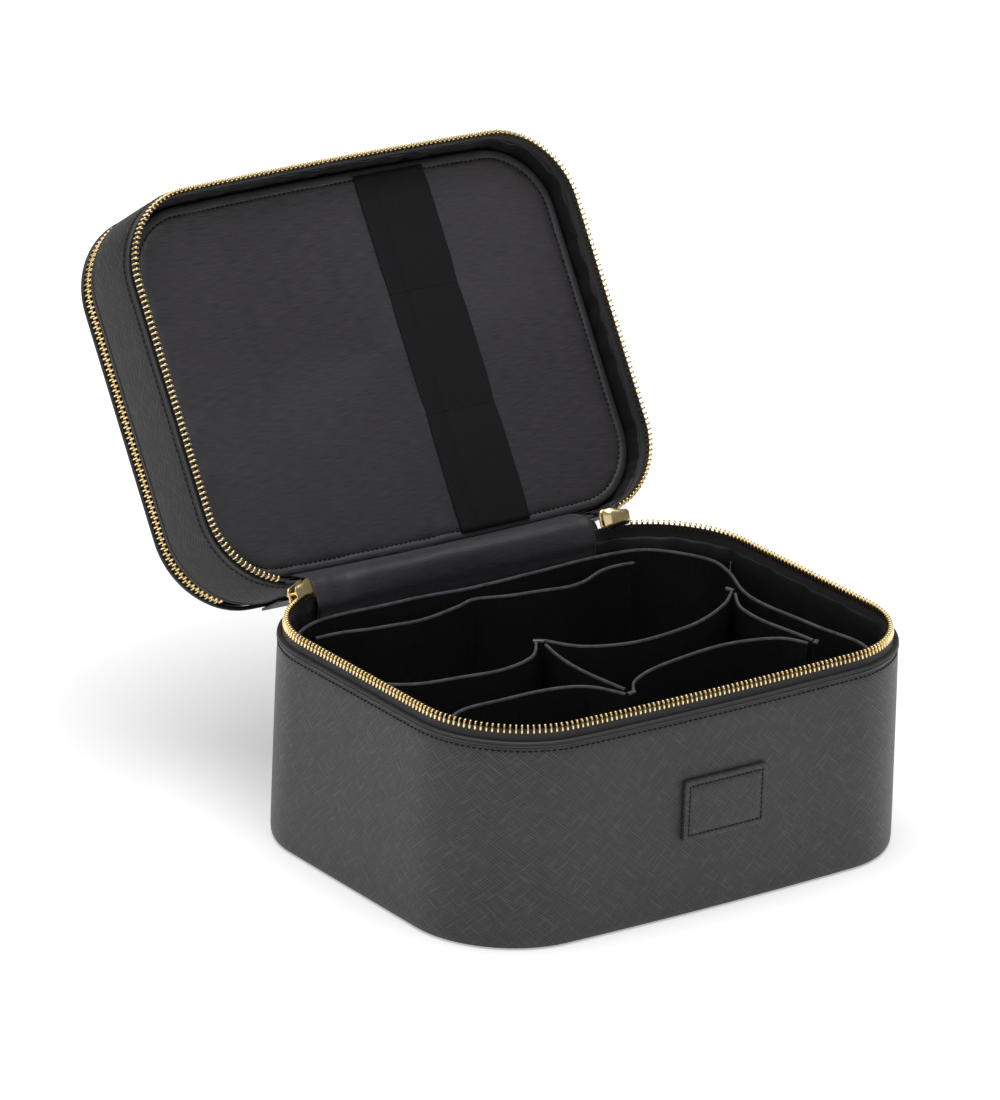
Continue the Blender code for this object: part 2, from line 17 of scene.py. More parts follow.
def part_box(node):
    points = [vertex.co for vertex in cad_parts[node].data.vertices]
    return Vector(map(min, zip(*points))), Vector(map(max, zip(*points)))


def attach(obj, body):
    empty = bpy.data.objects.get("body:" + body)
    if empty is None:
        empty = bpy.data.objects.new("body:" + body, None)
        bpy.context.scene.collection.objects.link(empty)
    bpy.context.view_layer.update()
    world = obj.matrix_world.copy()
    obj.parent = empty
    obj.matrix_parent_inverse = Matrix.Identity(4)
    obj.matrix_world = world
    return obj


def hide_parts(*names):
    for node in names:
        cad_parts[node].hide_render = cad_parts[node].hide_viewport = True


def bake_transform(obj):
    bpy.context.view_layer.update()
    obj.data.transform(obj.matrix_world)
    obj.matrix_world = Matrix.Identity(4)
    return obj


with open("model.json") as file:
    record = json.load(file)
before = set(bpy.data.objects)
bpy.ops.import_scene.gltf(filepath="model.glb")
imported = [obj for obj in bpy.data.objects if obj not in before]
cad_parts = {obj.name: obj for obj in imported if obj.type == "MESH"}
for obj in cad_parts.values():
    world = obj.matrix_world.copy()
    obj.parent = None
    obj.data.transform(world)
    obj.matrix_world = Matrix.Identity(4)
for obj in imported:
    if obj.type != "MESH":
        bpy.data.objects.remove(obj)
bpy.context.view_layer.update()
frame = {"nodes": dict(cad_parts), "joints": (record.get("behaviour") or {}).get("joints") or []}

# ---- the frame's own measures --------------------------------------------
MM = 0.001
JOINTS = {joint["name"]: joint for joint in frame["joints"]}
LID_AXIS = Vector(JOINTS["lid_hinge"]["pos_m"])
LID_TURN = math.radians(JOINTS["lid_hinge"]["range_deg"][1])
LID_OPEN = (
    Matrix.Translation(LID_AXIS) @ Matrix.Rotation(-LID_TURN, 4, "X") @ Matrix.Translation(-LID_AXIS)
)
LID_SHUT = LID_OPEN.inverted()
STAY = Matrix.Identity(4)


def shut_box(node):
    """A lid node's lowest and highest corners with the lid shut."""
    points = np.array([LID_SHUT @ v.co for v in frame["nodes"][node].data.vertices])
    return Vector(points.min(axis=0)), Vector(points.max(axis=0))


WALL_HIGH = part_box("outer_wall")[1]
BAND_LOW, BAND_HIGH = shut_box("lid_band")
LID_ZERO = BAND_LOW.z - 7.5 * MM
CASE_BOW, CORNER_TOP, CORNER_BOTTOM = 4.0 * MM, 49.0 * MM, 46.0 * MM
LID_BOW, LID_CORNER = 2.0 * MM, 38.0 * MM
LEFT_ZIP_END, RIGHT_ZIP_END = math.radians(27.5), math.radians(14.3)
TOOTH_PITCH = 2.5 * MM
STITCH_PITCH = 2.7 * MM
THREAD = 0.32 * MM


# ---- outlines -------------------------------------------------------------
class Outline:
    """A rounded rectangle with bowed long sides, at any inset and level."""

    corner_steps = 18
    side_steps = 14

    def __init__(self, half_w, half_d, bow, corner_low, corner_high, corner_level, zero=0.0):
        self.half_w, self.half_d, self.bow = half_w, half_d, bow
        self.corner_low, self.corner_high = corner_low, corner_high
        self.corner_level, self.zero = corner_level, zero

    def ring(self, inset, level, ends=None):
        """Points from the back left corner round the front to the back right corner."""
        share = min(max(level / self.corner_level, 0.0), 1.0)
        radius = self.corner_low + (self.corner_high - self.corner_low) * share - inset
        half_w, half_d = self.half_w - inset, self.half_d - inset
        start, stop = ends or (0.0, 0.0)
        quarter = math.pi / 2
        corners = (
            (-1, 1, quarter + start, 2 * quarter),
            (-1, -1, 2 * quarter, 3 * quarter),
            (1, -1, 3 * quarter, 4 * quarter),
            (1, 1, 0.0, quarter - stop),
        )
        arcs = []
        for side_x, side_y, first, last in corners:
            angles = np.linspace(first, last, self.corner_steps + 1)
            x = side_x * (half_w - radius) + radius * np.cos(angles)
            y = side_y * (half_d - radius) + radius * np.sin(angles)
            arcs.append(np.stack([x, y], axis=1))
        flat = []
        shares = np.linspace(0.0, 1.0, self.side_steps + 1)[1:-1, None]
        for index, arc in enumerate(arcs):
            flat.append(arc)
            if index == 3 and ends:
                continue
            following = arcs[(index + 1) % 4][0]
            flat.append(arc[-1] * (1 - shares) + following * shares)
        flat = np.concatenate(flat)
        flat[:, 1] += self.bow * (flat[:, 1] / half_d) * (1.0 - (flat[:, 0] / half_w) ** 2)
        return np.column_stack([flat, np.full(len(flat), self.zero + level)])


CASE = Outline(
    WALL_HIGH.x, WALL_HIGH.y - CASE_BOW, CASE_BOW, CORNER_BOTTOM, CORNER_TOP, WALL_HIGH.z
)
LID = Outline(
    BAND_HIGH.x, BAND_HIGH.y - LID_BOW, LID_BOW, LID_CORNER, LID_CORNER, 1.0, LID_ZERO
)
ZIP_ENDS = (LEFT_ZIP_END, RIGHT_ZIP_END)
TAPE_ENDS = (math.radians(9.0), math.radians(-7.0))
LID_TEETH_ENDS = (math.radians(17.5), math.radians(5.5))


def distances(points, closed=False):
    """How far along its own line each point is."""
    line = np.vstack([points, points[:1]]) if closed else points
    steps = np.linalg.norm(np.diff(line, axis=0), axis=1)
    return np.concatenate([[0.0], np.cumsum(steps)])


def spaced(points, pitch, closed=False, phase=0.0):
    """Evenly spaced places on a line, with the tangent at each."""
    line = np.vstack([points, points[:1]]) if closed else points
    along = distances(line)
    count = int((along[-1] - phase * pitch) / pitch)
    step = along[-1] / count if closed else pitch
    at = (np.arange(count) + phase) * step
    places = np.stack([np.interp(at, along, line[:, k]) for k in range(3)], axis=1)
    ahead = np.stack([np.interp(at + 0.4 * MM, along, line[:, k]) for k in range(3)], axis=1)
    behind = np.stack([np.interp(at - 0.4 * MM, along, line[:, k]) for k in range(3)], axis=1)
    tangents = ahead - behind
    return places, tangents / np.linalg.norm(tangents, axis=1)[:, None]


def smooth_path(points, closed=False, steps=8):
    """A Catmull-Rom curve through plan points given in millimetres."""
    knots = np.array(points, float) * MM
    count = len(knots)
    path = []
    for index in range(count if closed else count - 1):
        if closed:
            before, after = knots[index - 1], knots[(index + 2) % count]
        else:
            before, after = knots[max(index - 1, 0)], knots[min(index + 2, count - 1)]
        here, there = knots[index], knots[(index + 1) % count]
        for t in np.arange(steps) / steps:
            bend = 2 * before - 5 * here + 4 * there - after
            twist = 3 * here - before - 3 * there + after
            path.append(0.5 * (2 * here + (there - before) * t + bend * t**2 + twist * t**3))
    if not closed:
        path.append(knots[-1])
    return np.array(path)


# ---- meshes ---------------------------------------------------------------
def add_mesh(name, verts, faces, mats, uvs=None, face_mats=None, move=STAY, sharp=40.0):
    """A mesh object with smooth shading and a pattern map in metres."""
    mesh = bpy.data.meshes.new(name)
    mesh.from_pydata([tuple(v) for v in verts], [], [tuple(f) for f in faces])
    for mat in mats:
        mesh.materials.append(mat)
    if uvs is not None:
        layer = mesh.uv_layers.new(name="pattern")
        layer.data.foreach_set("uv", np.asarray(uvs, np.float32).ravel())
    if face_mats is not None:
        mesh.polygons.foreach_set("material_index", np.asarray(face_mats, np.int32))
    bm = bmesh.new()
    bm.from_mesh(mesh)
    bmesh.ops.recalc_face_normals(bm, faces=bm.faces)
    bm.to_mesh(mesh)
    bm.free()
    mesh.transform(move)
    mesh.shade_smooth()
    mesh.set_sharp_from_angle(angle=math.radians(sharp))
    item = bpy.data.objects.new(name, mesh)
    bpy.context.scene.collection.objects.link(item)
    return item


def loft(name, rows, mats, closed=False, wrap=False, row_mats=None, cap=False, **options):
    """A surface through rows of points. closed joins a row's ends, wrap the last row and the first."""
    rows = [np.asarray(row) for row in rows]
    count, total = len(rows[0]), len(rows)
    verts = np.concatenate(rows)
    along = distances(rows[0], closed)
    middle = [row.mean(axis=0) if not closed else row[count // 3] for row in rows]
    up = [0.0]
    for low, high in zip(middle, middle[1:] + middle[:1]):
        up.append(up[-1] + float(np.linalg.norm(np.asarray(high) - np.asarray(low))))
    faces, uvs, picks = [], [], []
    for r in range(total if wrap else total - 1):
        above = (r + 1) % total
        for i in range(count if closed else count - 1):
            after = (i + 1) % count
            faces.append((r * count + i, r * count + after, above * count + after, above * count + i))
            here, there = along[i], along[i + 1]
            uvs += [(here, up[r]), (there, up[r]), (there, up[r + 1]), (here, up[r + 1])]
            picks.append(row_mats[r] if row_mats else 0)
    if cap:
        ends = (range(count), range((total - 1) * count, total * count)) if closed else ()
        if wrap:
            ends = (range(0, total * count, count), range(count - 1, total * count, count))
        for end in ends:
            faces.append(tuple(end))
            uvs += [(verts[k][0], verts[k][1]) for k in end]
            picks.append(row_mats[0] if row_mats else 0)
    return add_mesh(name, verts, faces, mats, uvs, picks, **options)


def sweep(name, shape, profile, mats, ends=None, ripple=None, **options):
    """A closed cross-section of (inset, level) points in millimetres, carried round an outline."""
    rows = [shape.ring(inset * MM, level * MM, ends) for inset, level in profile]
    if ripple:
        rows = [ripple(row, index) for index, row in enumerate(rows)]
    return loft(name, rows, mats, closed=ends is None, wrap=True, cap=ends is not None, **options)


def rounded_bar(width, height, steps=4, lean=0.0):
    """A cross-section with round ends, as (inset, level) points about its own middle."""
    points = []
    radius = min(width, height) / 2
    for side_x, side_y, first in ((1, 1, 0), (-1, 1, 90), (-1, -1, 180), (1, -1, 270)):
        for step in range(steps + 1):
            angle = math.radians(first + 90 * step / steps)
            x = side_x * (width / 2 - radius) + radius * math.cos(angle)
            y = side_y * (height / 2 - radius) + radius * math.sin(angle)
            points.append((x + lean * y, y))
    return points


def shifted(profile, inset, level):
    return [(inset + x, level + y) for x, y in profile]


def many(name, places, tangents, ups, shape_verts, shape_faces, mat, move=STAY):
    """Copies of one small shape along a line, joined in one mesh. Its X lies along the line."""
    verts, faces = [], []
    size = len(shape_verts)
    sides = np.cross(ups, tangents)
    for index in range(len(places)):
        turn = np.stack([tangents[index], sides[index], ups[index]])
        verts.append(shape_verts @ turn + places[index])
        faces += [tuple(k + index * size for k in face) for face in shape_faces]
    return add_mesh(name, np.concatenate(verts), faces, [mat], move=move, sharp=60.0)


def ring_faces(rings, sides):
    """The quads between rings of points that lie one after another."""
    faces = []
    for ring in range(rings - 1):
        here, there = ring * sides, (ring + 1) * sides
        for index in range(sides):
            after = (index + 1) % sides
            faces.append((here + index, here + after, there + after, there + index))
    return faces


def end_faces(rings, sides, turned=False):
    """The flat faces on the first and the last ring."""
    first = tuple(range(sides))
    last = tuple(range((rings - 1) * sides, rings * sides))
    return [first[::-1] if turned else first, last]


def stack(levels, sides=8, power=2.6):
    """A small closed form from flat rounded rings: (height, half length, half depth)."""
    verts = []
    for height, half_x, half_y in levels:
        for index in range(sides):
            angle = 2 * math.pi * (index + 0.5) / sides
            c, s = math.cos(angle), math.sin(angle)
            x = math.copysign(abs(c) ** (2 / power), c) * half_x
            y = math.copysign(abs(s) ** (2 / power), s) * half_y
            verts.append((x * MM, y * MM, height * MM))
    faces = ring_faces(len(levels), sides) + end_faces(len(levels), sides, turned=True)
    return np.array(verts), faces


def capsule(length, radius, sides=6):
    """A stitch: a short thread along X whose ends dip."""
    stations = (
        (-0.5, 0.35, -0.9), (-0.4, 0.9, -0.2), (0.0, 1.0, 0.25), (0.4, 0.9, -0.2), (0.5, 0.35, -0.9),
    )
    verts = []
    for along, girth, lift in stations:
        for index in range(sides):
            angle = 2 * math.pi * index / sides
            y = radius * girth * math.cos(angle)
            z = radius * (girth * math.sin(angle) + lift)
            verts.append((along * length, y, z))
    faces = ring_faces(len(stations), sides) + end_faces(len(stations), sides, turned=True)
    return np.array(verts), faces


STITCH = capsule(1.9 * MM, THREAD)


def stitches(name, line, outward, body, closed=True, pitch=STITCH_PITCH, move=STAY):
    """A row of thread stitches on a line. outward gives the way they stand off."""
    places, tangents = spaced(line, pitch, closed)
    ups = np.array([outward(tangent) for tangent in tangents])
    ups = ups / np.linalg.norm(ups, axis=1)[:, None]
    row = many(name, places, tangents, ups, *STITCH, THREAD_BLACK, move)
    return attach(row, body)


def away_from_middle(tangent):
    """The horizontal way out of a loop that runs from the back left round the front."""
    return np.array([-tangent[1], tangent[0], 0.0]) * -1.0


# ---- materials ------------------------------------------------------------
class Paint:
    """A procedural material under construction: short names for the nodes that it uses."""

    def __init__(self, name, roughness, metallic=0.0, **sockets):
        self.mat = bpy.data.materials.new(name)
        self.mat.use_nodes = True
        self.tree = self.mat.node_tree
        self.shader = self.tree.nodes["Principled BSDF"]
        self.shader.inputs["Roughness"].default_value = roughness
        self.shader.inputs["Metallic"].default_value = metallic
        for socket, value in sockets.items():
            self.shader.inputs[socket.replace("_", " ")].default_value = value

    def put(self, socket, value):
        """Joins an output to an input, or sets the input."""
        if isinstance(value, bpy.types.NodeSocket):
            self.tree.links.new(value, socket)
        elif value is not None:
            socket.default_value = value

    def node(self, kind, **settings):
        made = self.tree.nodes.new("ShaderNode" + kind)
        for key, value in settings.items():
            setattr(made, key, value)
        return made

    def pattern(self, scale=(1, 1, 1), turn=0.0):
        """The piece's pattern map in metres, turned and then scaled."""
        source = self.node("UVMap", uv_map="pattern")
        spin = self.node("Mapping")
        self.put(spin.inputs["Vector"], source.outputs["UV"])
        spin.inputs["Rotation"].default_value = (0, 0, turn)
        stretch = self.node("Mapping")
        self.put(stretch.inputs["Vector"], spin.outputs["Vector"])
        stretch.inputs["Scale"].default_value = scale
        return stretch.outputs["Vector"]

    def place(self, scale=1.0):
        """The object's own coordinates in metres, times scale."""
        source = self.node("TexCoord")
        stretch = self.node("Mapping")
        self.put(stretch.inputs["Vector"], source.outputs["Object"])
        stretch.inputs["Scale"].default_value = (scale,) * 3 if np.isscalar(scale) else scale
        return stretch.outputs["Vector"]

    def noise(self, vector, scale=1.0, detail=3.0, roughness=0.55):
        made = self.node("TexNoise")
        self.put(made.inputs["Vector"], vector)
        made.inputs["Scale"].default_value = scale
        made.inputs["Detail"].default_value = detail
        made.inputs["Roughness"].default_value = roughness
        return made.outputs["Fac"]

    def math(self, operation, a, b=None, clamp=False):
        made = self.node("Math", operation=operation, use_clamp=clamp)
        self.put(made.inputs[0], a)
        self.put(made.inputs[1], b)
        return made.outputs["Value"]

    def madd(self, a, b, c):
        """a times b plus c."""
        made = self.node("Math", operation="MULTIPLY_ADD")
        for socket, value in zip(made.inputs, (a, b, c)):
            self.put(socket, value)
        return made.outputs["Value"]

    def ramp(self, factor, low, high, out_low=0.0, out_high=1.0):
        made = self.node("MapRange", interpolation_type="SMOOTHSTEP")
        self.put(made.inputs["Value"], factor)
        sockets = ("From Min", "From Max", "To Min", "To Max")
        for socket, value in zip(sockets, (low, high, out_low, out_high)):
            made.inputs[socket].default_value = value
        return made.outputs["Result"]

    def mix(self, factor, a, b):
        made = self.node("Mix", data_type="RGBA")
        self.put(made.inputs[0], factor)
        for socket, colour in ((made.inputs[6], a), (made.inputs[7], b)):
            self.put(socket, (*colour, 1.0) if isinstance(colour, tuple) else colour)
        return made.outputs[2]

    def colour(self, value):
        self.put(self.shader.inputs["Base Color"], value)

    def rough(self, value):
        self.put(self.shader.inputs["Roughness"], value)

    def bump(self, height, depth, after=None):
        """Relief of a given depth in metres. Returns the normal, for another layer to build on."""
        made = self.node("Bump")
        made.inputs["Strength"].default_value = 1.0
        made.inputs["Distance"].default_value = depth
        self.put(made.inputs["Height"], height)
        self.put(made.inputs["Normal"], after)
        self.put(self.shader.inputs["Normal"], made.outputs["Normal"])
        return made.outputs["Normal"]


def hatch_lines(paint, turn, period, seed):
    """Fine parallel pressed lines that wander and fade a little, 0 to 1."""
    lines = paint.pattern((1 / period, 1 / period, 1), turn)
    drift = paint.noise(paint.pattern((18 + seed, 260, 1), turn), 1.0, 2.0)
    split = paint.node("SeparateXYZ")
    paint.put(split.inputs[0], lines)
    phase = paint.madd(split.outputs["Y"], 2 * math.pi, paint.math("MULTIPLY", drift, 9.0))
    wave = paint.math("SINE", phase)
    return paint.ramp(wave, -0.4, 1.0)


def make_crosshatch(name="crosshatch_leather", base=0.026, roughness=0.44, gloss=0.42):
    """Black leather pressed with two crossing sets of fine diagonal lines."""
    paint = Paint(name, roughness, Specular_IOR_Level=gloss)
    first = hatch_lines(paint, math.radians(41), 1.10 * MM, 0.0)
    second = hatch_lines(paint, math.radians(-43), 1.18 * MM, 7.0)
    crossed = paint.madd(first, 0.6, paint.math("MULTIPLY", second, 0.4))
    streak_a = paint.noise(paint.pattern((95, 900, 1), math.radians(41)), 1.0, 2.0)
    streak_b = paint.noise(paint.pattern((100, 860, 1), math.radians(-43)), 1.0, 2.0)
    streaks = paint.math("MAXIMUM", streak_a, streak_b)
    streaks = paint.ramp(streaks, 0.52, 0.72)
    relief = paint.madd(streaks, 0.7, crossed)
    cloud = paint.noise(paint.place(14.0), 1.0, 3.0)
    dark = (base * 0.35, base * 0.35, base * 0.36)
    light = (base * 2.3, base * 2.26, base * 2.28)
    shade = paint.madd(relief, 0.62, paint.math("MULTIPLY", cloud, 0.25))
    paint.colour(paint.mix(shade, dark, light))
    paint.rough(paint.ramp(shade, 0.0, 1.0, roughness + 0.07, roughness - 0.05))
    pores = paint.noise(paint.place(2600.0), 1.0, 2.0)
    normal = paint.bump(relief, 0.11 * MM)
    paint.bump(pores, 0.012 * MM, normal)
    return paint.mat


def make_smooth_leather():
    """The same hide where it is folded into a thin binding: rubbed, with the hatch stretched out."""
    paint = Paint("binding_leather", 0.40)
    grain = paint.noise(paint.place(1500.0), 1.0, 3.0)
    rub = paint.noise(paint.place(90.0), 1.0, 4.0)
    lines = hatch_lines(paint, math.radians(41), 0.66 * MM, 3.0)
    shade = paint.madd(lines, 0.3, paint.math("MULTIPLY", rub, 0.7))
    paint.colour(paint.mix(shade, (0.012, 0.012, 0.013), (0.030, 0.029, 0.030)))
    paint.rough(paint.ramp(rub, 0.3, 0.7, 0.46, 0.34))
    normal = paint.bump(lines, 0.03 * MM)
    paint.bump(grain, 0.03 * MM, normal)
    return paint.mat


def make_pebbled():
    """Black leather with a small round pebble grain, almost matt."""
    paint = Paint("pebbled_leather", 0.52, Specular_IOR_Level=0.22)
    cells = paint.node("TexVoronoi", feature="SMOOTH_F1")
    warp = paint.noise(paint.place(420.0), 1.0, 2.0)
    spot = paint.node("VectorMath", operation="ADD")
    paint.put(spot.inputs[0], paint.place(760.0))
    paint.put(spot.inputs[1], warp)
    paint.put(cells.inputs["Vector"], spot.outputs["Vector"])
    cells.inputs["Smoothness"].default_value = 0.35
    pebble = paint.ramp(cells.outputs["Distance"], 0.05, 0.62, 1.0, 0.0)
    fine = paint.noise(paint.place(3800.0), 1.0, 2.0)
    cloud = paint.noise(paint.place(30.0), 1.0, 3.0)
    shade = paint.madd(pebble, 0.6, paint.math("MULTIPLY", cloud, 0.4))
    paint.colour(paint.mix(shade, (0.0025, 0.0025, 0.0028), (0.008, 0.008, 0.0088)))
    paint.rough(paint.ramp(pebble, 0.0, 1.0, 0.66, 0.47))
    normal = paint.bump(pebble, 0.16 * MM)
    paint.bump(fine, 0.015 * MM, normal)
    return paint.mat


def make_edge_paint():
    """Grey edge paint on cut leather, slightly uneven."""
    paint = Paint("grey_edge_paint", 0.38)
    uneven = paint.noise(paint.place(260.0), 1.0, 4.0)
    paint.colour(paint.mix(paint.ramp(uneven, 0.3, 0.7), (0.060, 0.061, 0.070), (0.110, 0.111, 0.124)))
    paint.rough(paint.ramp(uneven, 0.3, 0.7, 0.46, 0.32))
    paint.bump(uneven, 0.10 * MM)
    return paint.mat


def weave(paint, period):
    """A plain weave on the pattern map, 0 to 1."""
    split = paint.node("SeparateXYZ")
    paint.put(split.inputs[0], paint.pattern((2 * math.pi / period, 2 * math.pi / period, 1)))
    across = paint.math("SINE", split.outputs["X"])
    along = paint.math("SINE", split.outputs["Y"])
    return paint.madd(paint.math("MULTIPLY", across, along), 0.5, 0.5)


def make_satin(name, dark, light, roughness=0.46, sheen=0.25):
    """Close-woven lining satin with a broad soft sheen."""
    paint = Paint(
        name, roughness, Sheen_Weight=sheen, Sheen_Roughness=0.45, Anisotropic=0.35, Specular_IOR_Level=0.42
    )
    threads = weave(paint, 0.42 * MM)
    slubs = paint.noise(paint.pattern((120, 2400, 1)), 1.0, 2.0)
    cloud = paint.noise(paint.place(11.0), 1.0, 4.0)
    slubs = paint.ramp(slubs, 0.3, 0.7)
    shade = paint.madd(slubs, 0.6, paint.math("MULTIPLY", cloud, 0.4))
    paint.colour(paint.mix(shade, dark, light))
    paint.rough(paint.ramp(slubs, 0.0, 1.0, roughness + 0.05, roughness - 0.04))
    crease = paint.noise(paint.place(95.0), 1.0, 3.0)
    normal = paint.bump(threads, 0.02 * MM)
    paint.bump(crease, 0.12 * MM, normal)
    return paint.mat


def make_elastic():
    """Flat woven elastic: close lengthwise ribs crossed by fine weft."""
    paint = Paint("elastic_webbing", 0.8, Specular_IOR_Level=0.2)
    split = paint.node("SeparateXYZ")
    paint.put(split.inputs[0], paint.pattern((2 * math.pi / (1.15 * MM), 2 * math.pi / (0.5 * MM), 1)))
    ribs = paint.math("SINE", split.outputs["X"])
    weft = paint.math("SINE", split.outputs["Y"])
    woven = paint.madd(ribs, 0.35, paint.madd(weft, 0.15, 0.5))
    fuzz = paint.noise(paint.place(1800.0), 1.0, 3.0)
    shade = paint.math("MULTIPLY", woven, paint.math("ADD", fuzz, 0.5))
    paint.colour(paint.mix(shade, (0.004, 0.0035, 0.0042), (0.011, 0.0095, 0.0115)))
    normal = paint.bump(woven, 0.07 * MM)
    paint.bump(fuzz, 0.03 * MM, normal)
    return paint.mat


def make_tape():
    """Zip tape: black herringbone, ribs that change slope down the middle."""
    paint = Paint("zip_tape", 0.78, Sheen_Weight=0.18, Sheen_Roughness=0.5)
    split = paint.node("SeparateXYZ")
    paint.put(split.inputs[0], paint.pattern())
    fold = paint.math("PINGPONG", split.outputs["Y"], 3.2 * MM)
    slanted = paint.math("ADD", split.outputs["X"], paint.math("MULTIPLY", fold, 1.15))
    ribs = paint.math("SINE", paint.math("MULTIPLY", slanted, 2 * math.pi / (1.15 * MM)))
    ribs = paint.ramp(ribs, -0.9, 0.9)
    fuzz = paint.noise(paint.place(2300.0), 1.0, 3.0)
    shade = paint.math("MULTIPLY", ribs, paint.math("ADD", fuzz, 0.45))
    paint.colour(paint.mix(shade, (0.008, 0.008, 0.0085), (0.040, 0.038, 0.040)))
    normal = paint.bump(ribs, 0.11 * MM)
    paint.bump(fuzz, 0.03 * MM, normal)
    return paint.mat


def make_gold():
    """Polished pale gold plate with faint smears and tiny wear on it."""
    paint = Paint("pale_gold_metal", 0.22, 1.0)
    smear = paint.noise(paint.place(260.0), 1.0, 4.0)
    wear = paint.noise(paint.place(2100.0), 1.0, 3.0)
    paint.colour(paint.mix(paint.ramp(smear, 0.3, 0.7), (0.88, 0.66, 0.30), (0.97, 0.80, 0.46)))
    paint.rough(paint.ramp(wear, 0.35, 0.75, 0.16, 0.30))
    paint.bump(smear, 0.006 * MM)
    return paint.mat


def make_board():
    """Grey pulp board, with flecks."""
    paint = Paint("grey_board", 0.9)
    fibre = paint.noise(paint.place(700.0), 1.0, 5.0)
    fleck = paint.noise(paint.place(2400.0), 1.0, 2.0)
    shade = paint.math("MULTIPLY", fibre, paint.math("ADD", fleck, 0.5))
    paint.colour(paint.mix(shade, (0.20, 0.185, 0.165), (0.38, 0.36, 0.32)))
    paint.bump(fibre, 0.08 * MM)
    return paint.mat


def make_thread():
    """Twisted black thread, a little shiny."""
    paint = Paint("black_thread", 0.6, Specular_IOR_Level=0.2)
    twist = paint.node("TexWave", wave_type="BANDS", bands_direction="DIAGONAL")
    paint.put(twist.inputs["Vector"], paint.place(1500.0))
    twist.inputs["Distortion"].default_value = 1.5
    paint.colour(paint.mix(twist.outputs["Fac"], (0.002, 0.002, 0.002), (0.009, 0.009, 0.010)))
    paint.bump(twist.outputs["Fac"], 0.04 * MM)
    return paint.mat


def make_floor():
    """White light-table floor, even in colour, that gives off light: its emission is painted dimmer round
    the case as painted shade, and brighter far off.
    """
    paint = Paint("studio_floor", 0.85, Specular_IOR_Level=0.2)
    cloud = paint.noise(paint.place(2.0), 1.0, 2.0)
    tone = paint.mix(cloud, (0.93, 0.93, 0.93), (0.95, 0.95, 0.95))
    paint.colour(tone)
    paint.put(paint.shader.inputs["Emission Color"], tone)
    reach = paint.node("VectorMath", operation="LENGTH")
    paint.put(reach.inputs[0], paint.place())
    # painted shade: the floor's own emission is lower near the case and higher far away
    emission_with_painted_shade = paint.ramp(reach.outputs["Value"], 0.25, 1.0, 0.42, 0.88)
    paint.put(paint.shader.inputs["Emission Strength"], emission_with_painted_shade)
    return paint.mat


HATCHED = make_crosshatch()
# a darker, less glossy copy of the case leather for the lid band and cover: painted shade
HATCHED_PAINTED_SHADE = make_crosshatch("crosshatch_leather_lid", 0.013, 0.48, 0.25)
BINDING = make_smooth_leather()
PEBBLED = make_pebbled()
EDGE_PAINT = make_edge_paint()
SATIN = make_satin("satin_lining", (0.012, 0.011, 0.013), (0.048, 0.044, 0.050), 0.46, 0.08)
# a darker copy of the same lining satin for the case's inside, the gusset and the panels within the lid:
# painted shade
SHADED_SATIN = make_satin("satin_lining_painted_shade", (0.006, 0.0055, 0.007), (0.013, 0.012, 0.015), 0.5, 0.04)
ELASTIC = make_elastic()
TAPE = make_tape()
GOLD = make_gold()
GREYBOARD = make_board()
THREAD_BLACK = make_thread()


# ---- camera, lights and floor ---------------------------------------------
CAMERA_TURN = (-36.35, 20.68, 1.91)
CAMERA_PLACE = (-1.8751, -2.4798, 1.3075)
CAMERA_LENS, SENSOR_WIDTH = 246.57, 36.0


def add_camera():
    """A long lens on the left front, a little above the case."""
    azimuth, elevation, roll = map(math.radians, CAMERA_TURN)
    level = math.cos(elevation)
    back = Vector((math.sin(azimuth) * level, -math.cos(azimuth) * level, math.sin(elevation)))
    right = Vector((math.cos(azimuth), math.sin(azimuth), 0.0))
    up = back.cross(right)
    turned_right = right * math.cos(roll) + up * math.sin(roll)
    turned_up = up * math.cos(roll) - right * math.sin(roll)
    data = bpy.data.cameras.new("camera")
    data.lens, data.sensor_width, data.sensor_fit = CAMERA_LENS, SENSOR_WIDTH, "AUTO"
    data.clip_start, data.clip_end = 0.05, 50.0
    camera = bpy.data.objects.new("camera", data)
    bpy.context.scene.collection.objects.link(camera)
    turn = Matrix((turned_right, turned_up, back)).transposed().to_4x4()
    camera.matrix_world = Matrix.Translation(CAMERA_PLACE) @ turn
    bpy.context.scene.camera = camera


def add_light(name, place, size, power, aim=(0.0, 0.0, 0.1)):
    data = bpy.data.lights.new(name, "AREA")
    data.shape, data.size, data.size_y = "RECTANGLE", *size
    data.energy = power
    lamp = bpy.data.objects.new(name, data)
    bpy.context.scene.collection.objects.link(lamp)
    lamp.location = place
    lamp.rotation_euler = (Vector(aim) - Vector(place)).to_track_quat("-Z", "Y").to_euler()


WORLD_STRENGTH = 0.18
FLOOR_HALF_WIDTH = 8.0
FLOOR_LEVEL = -0.2 * MM


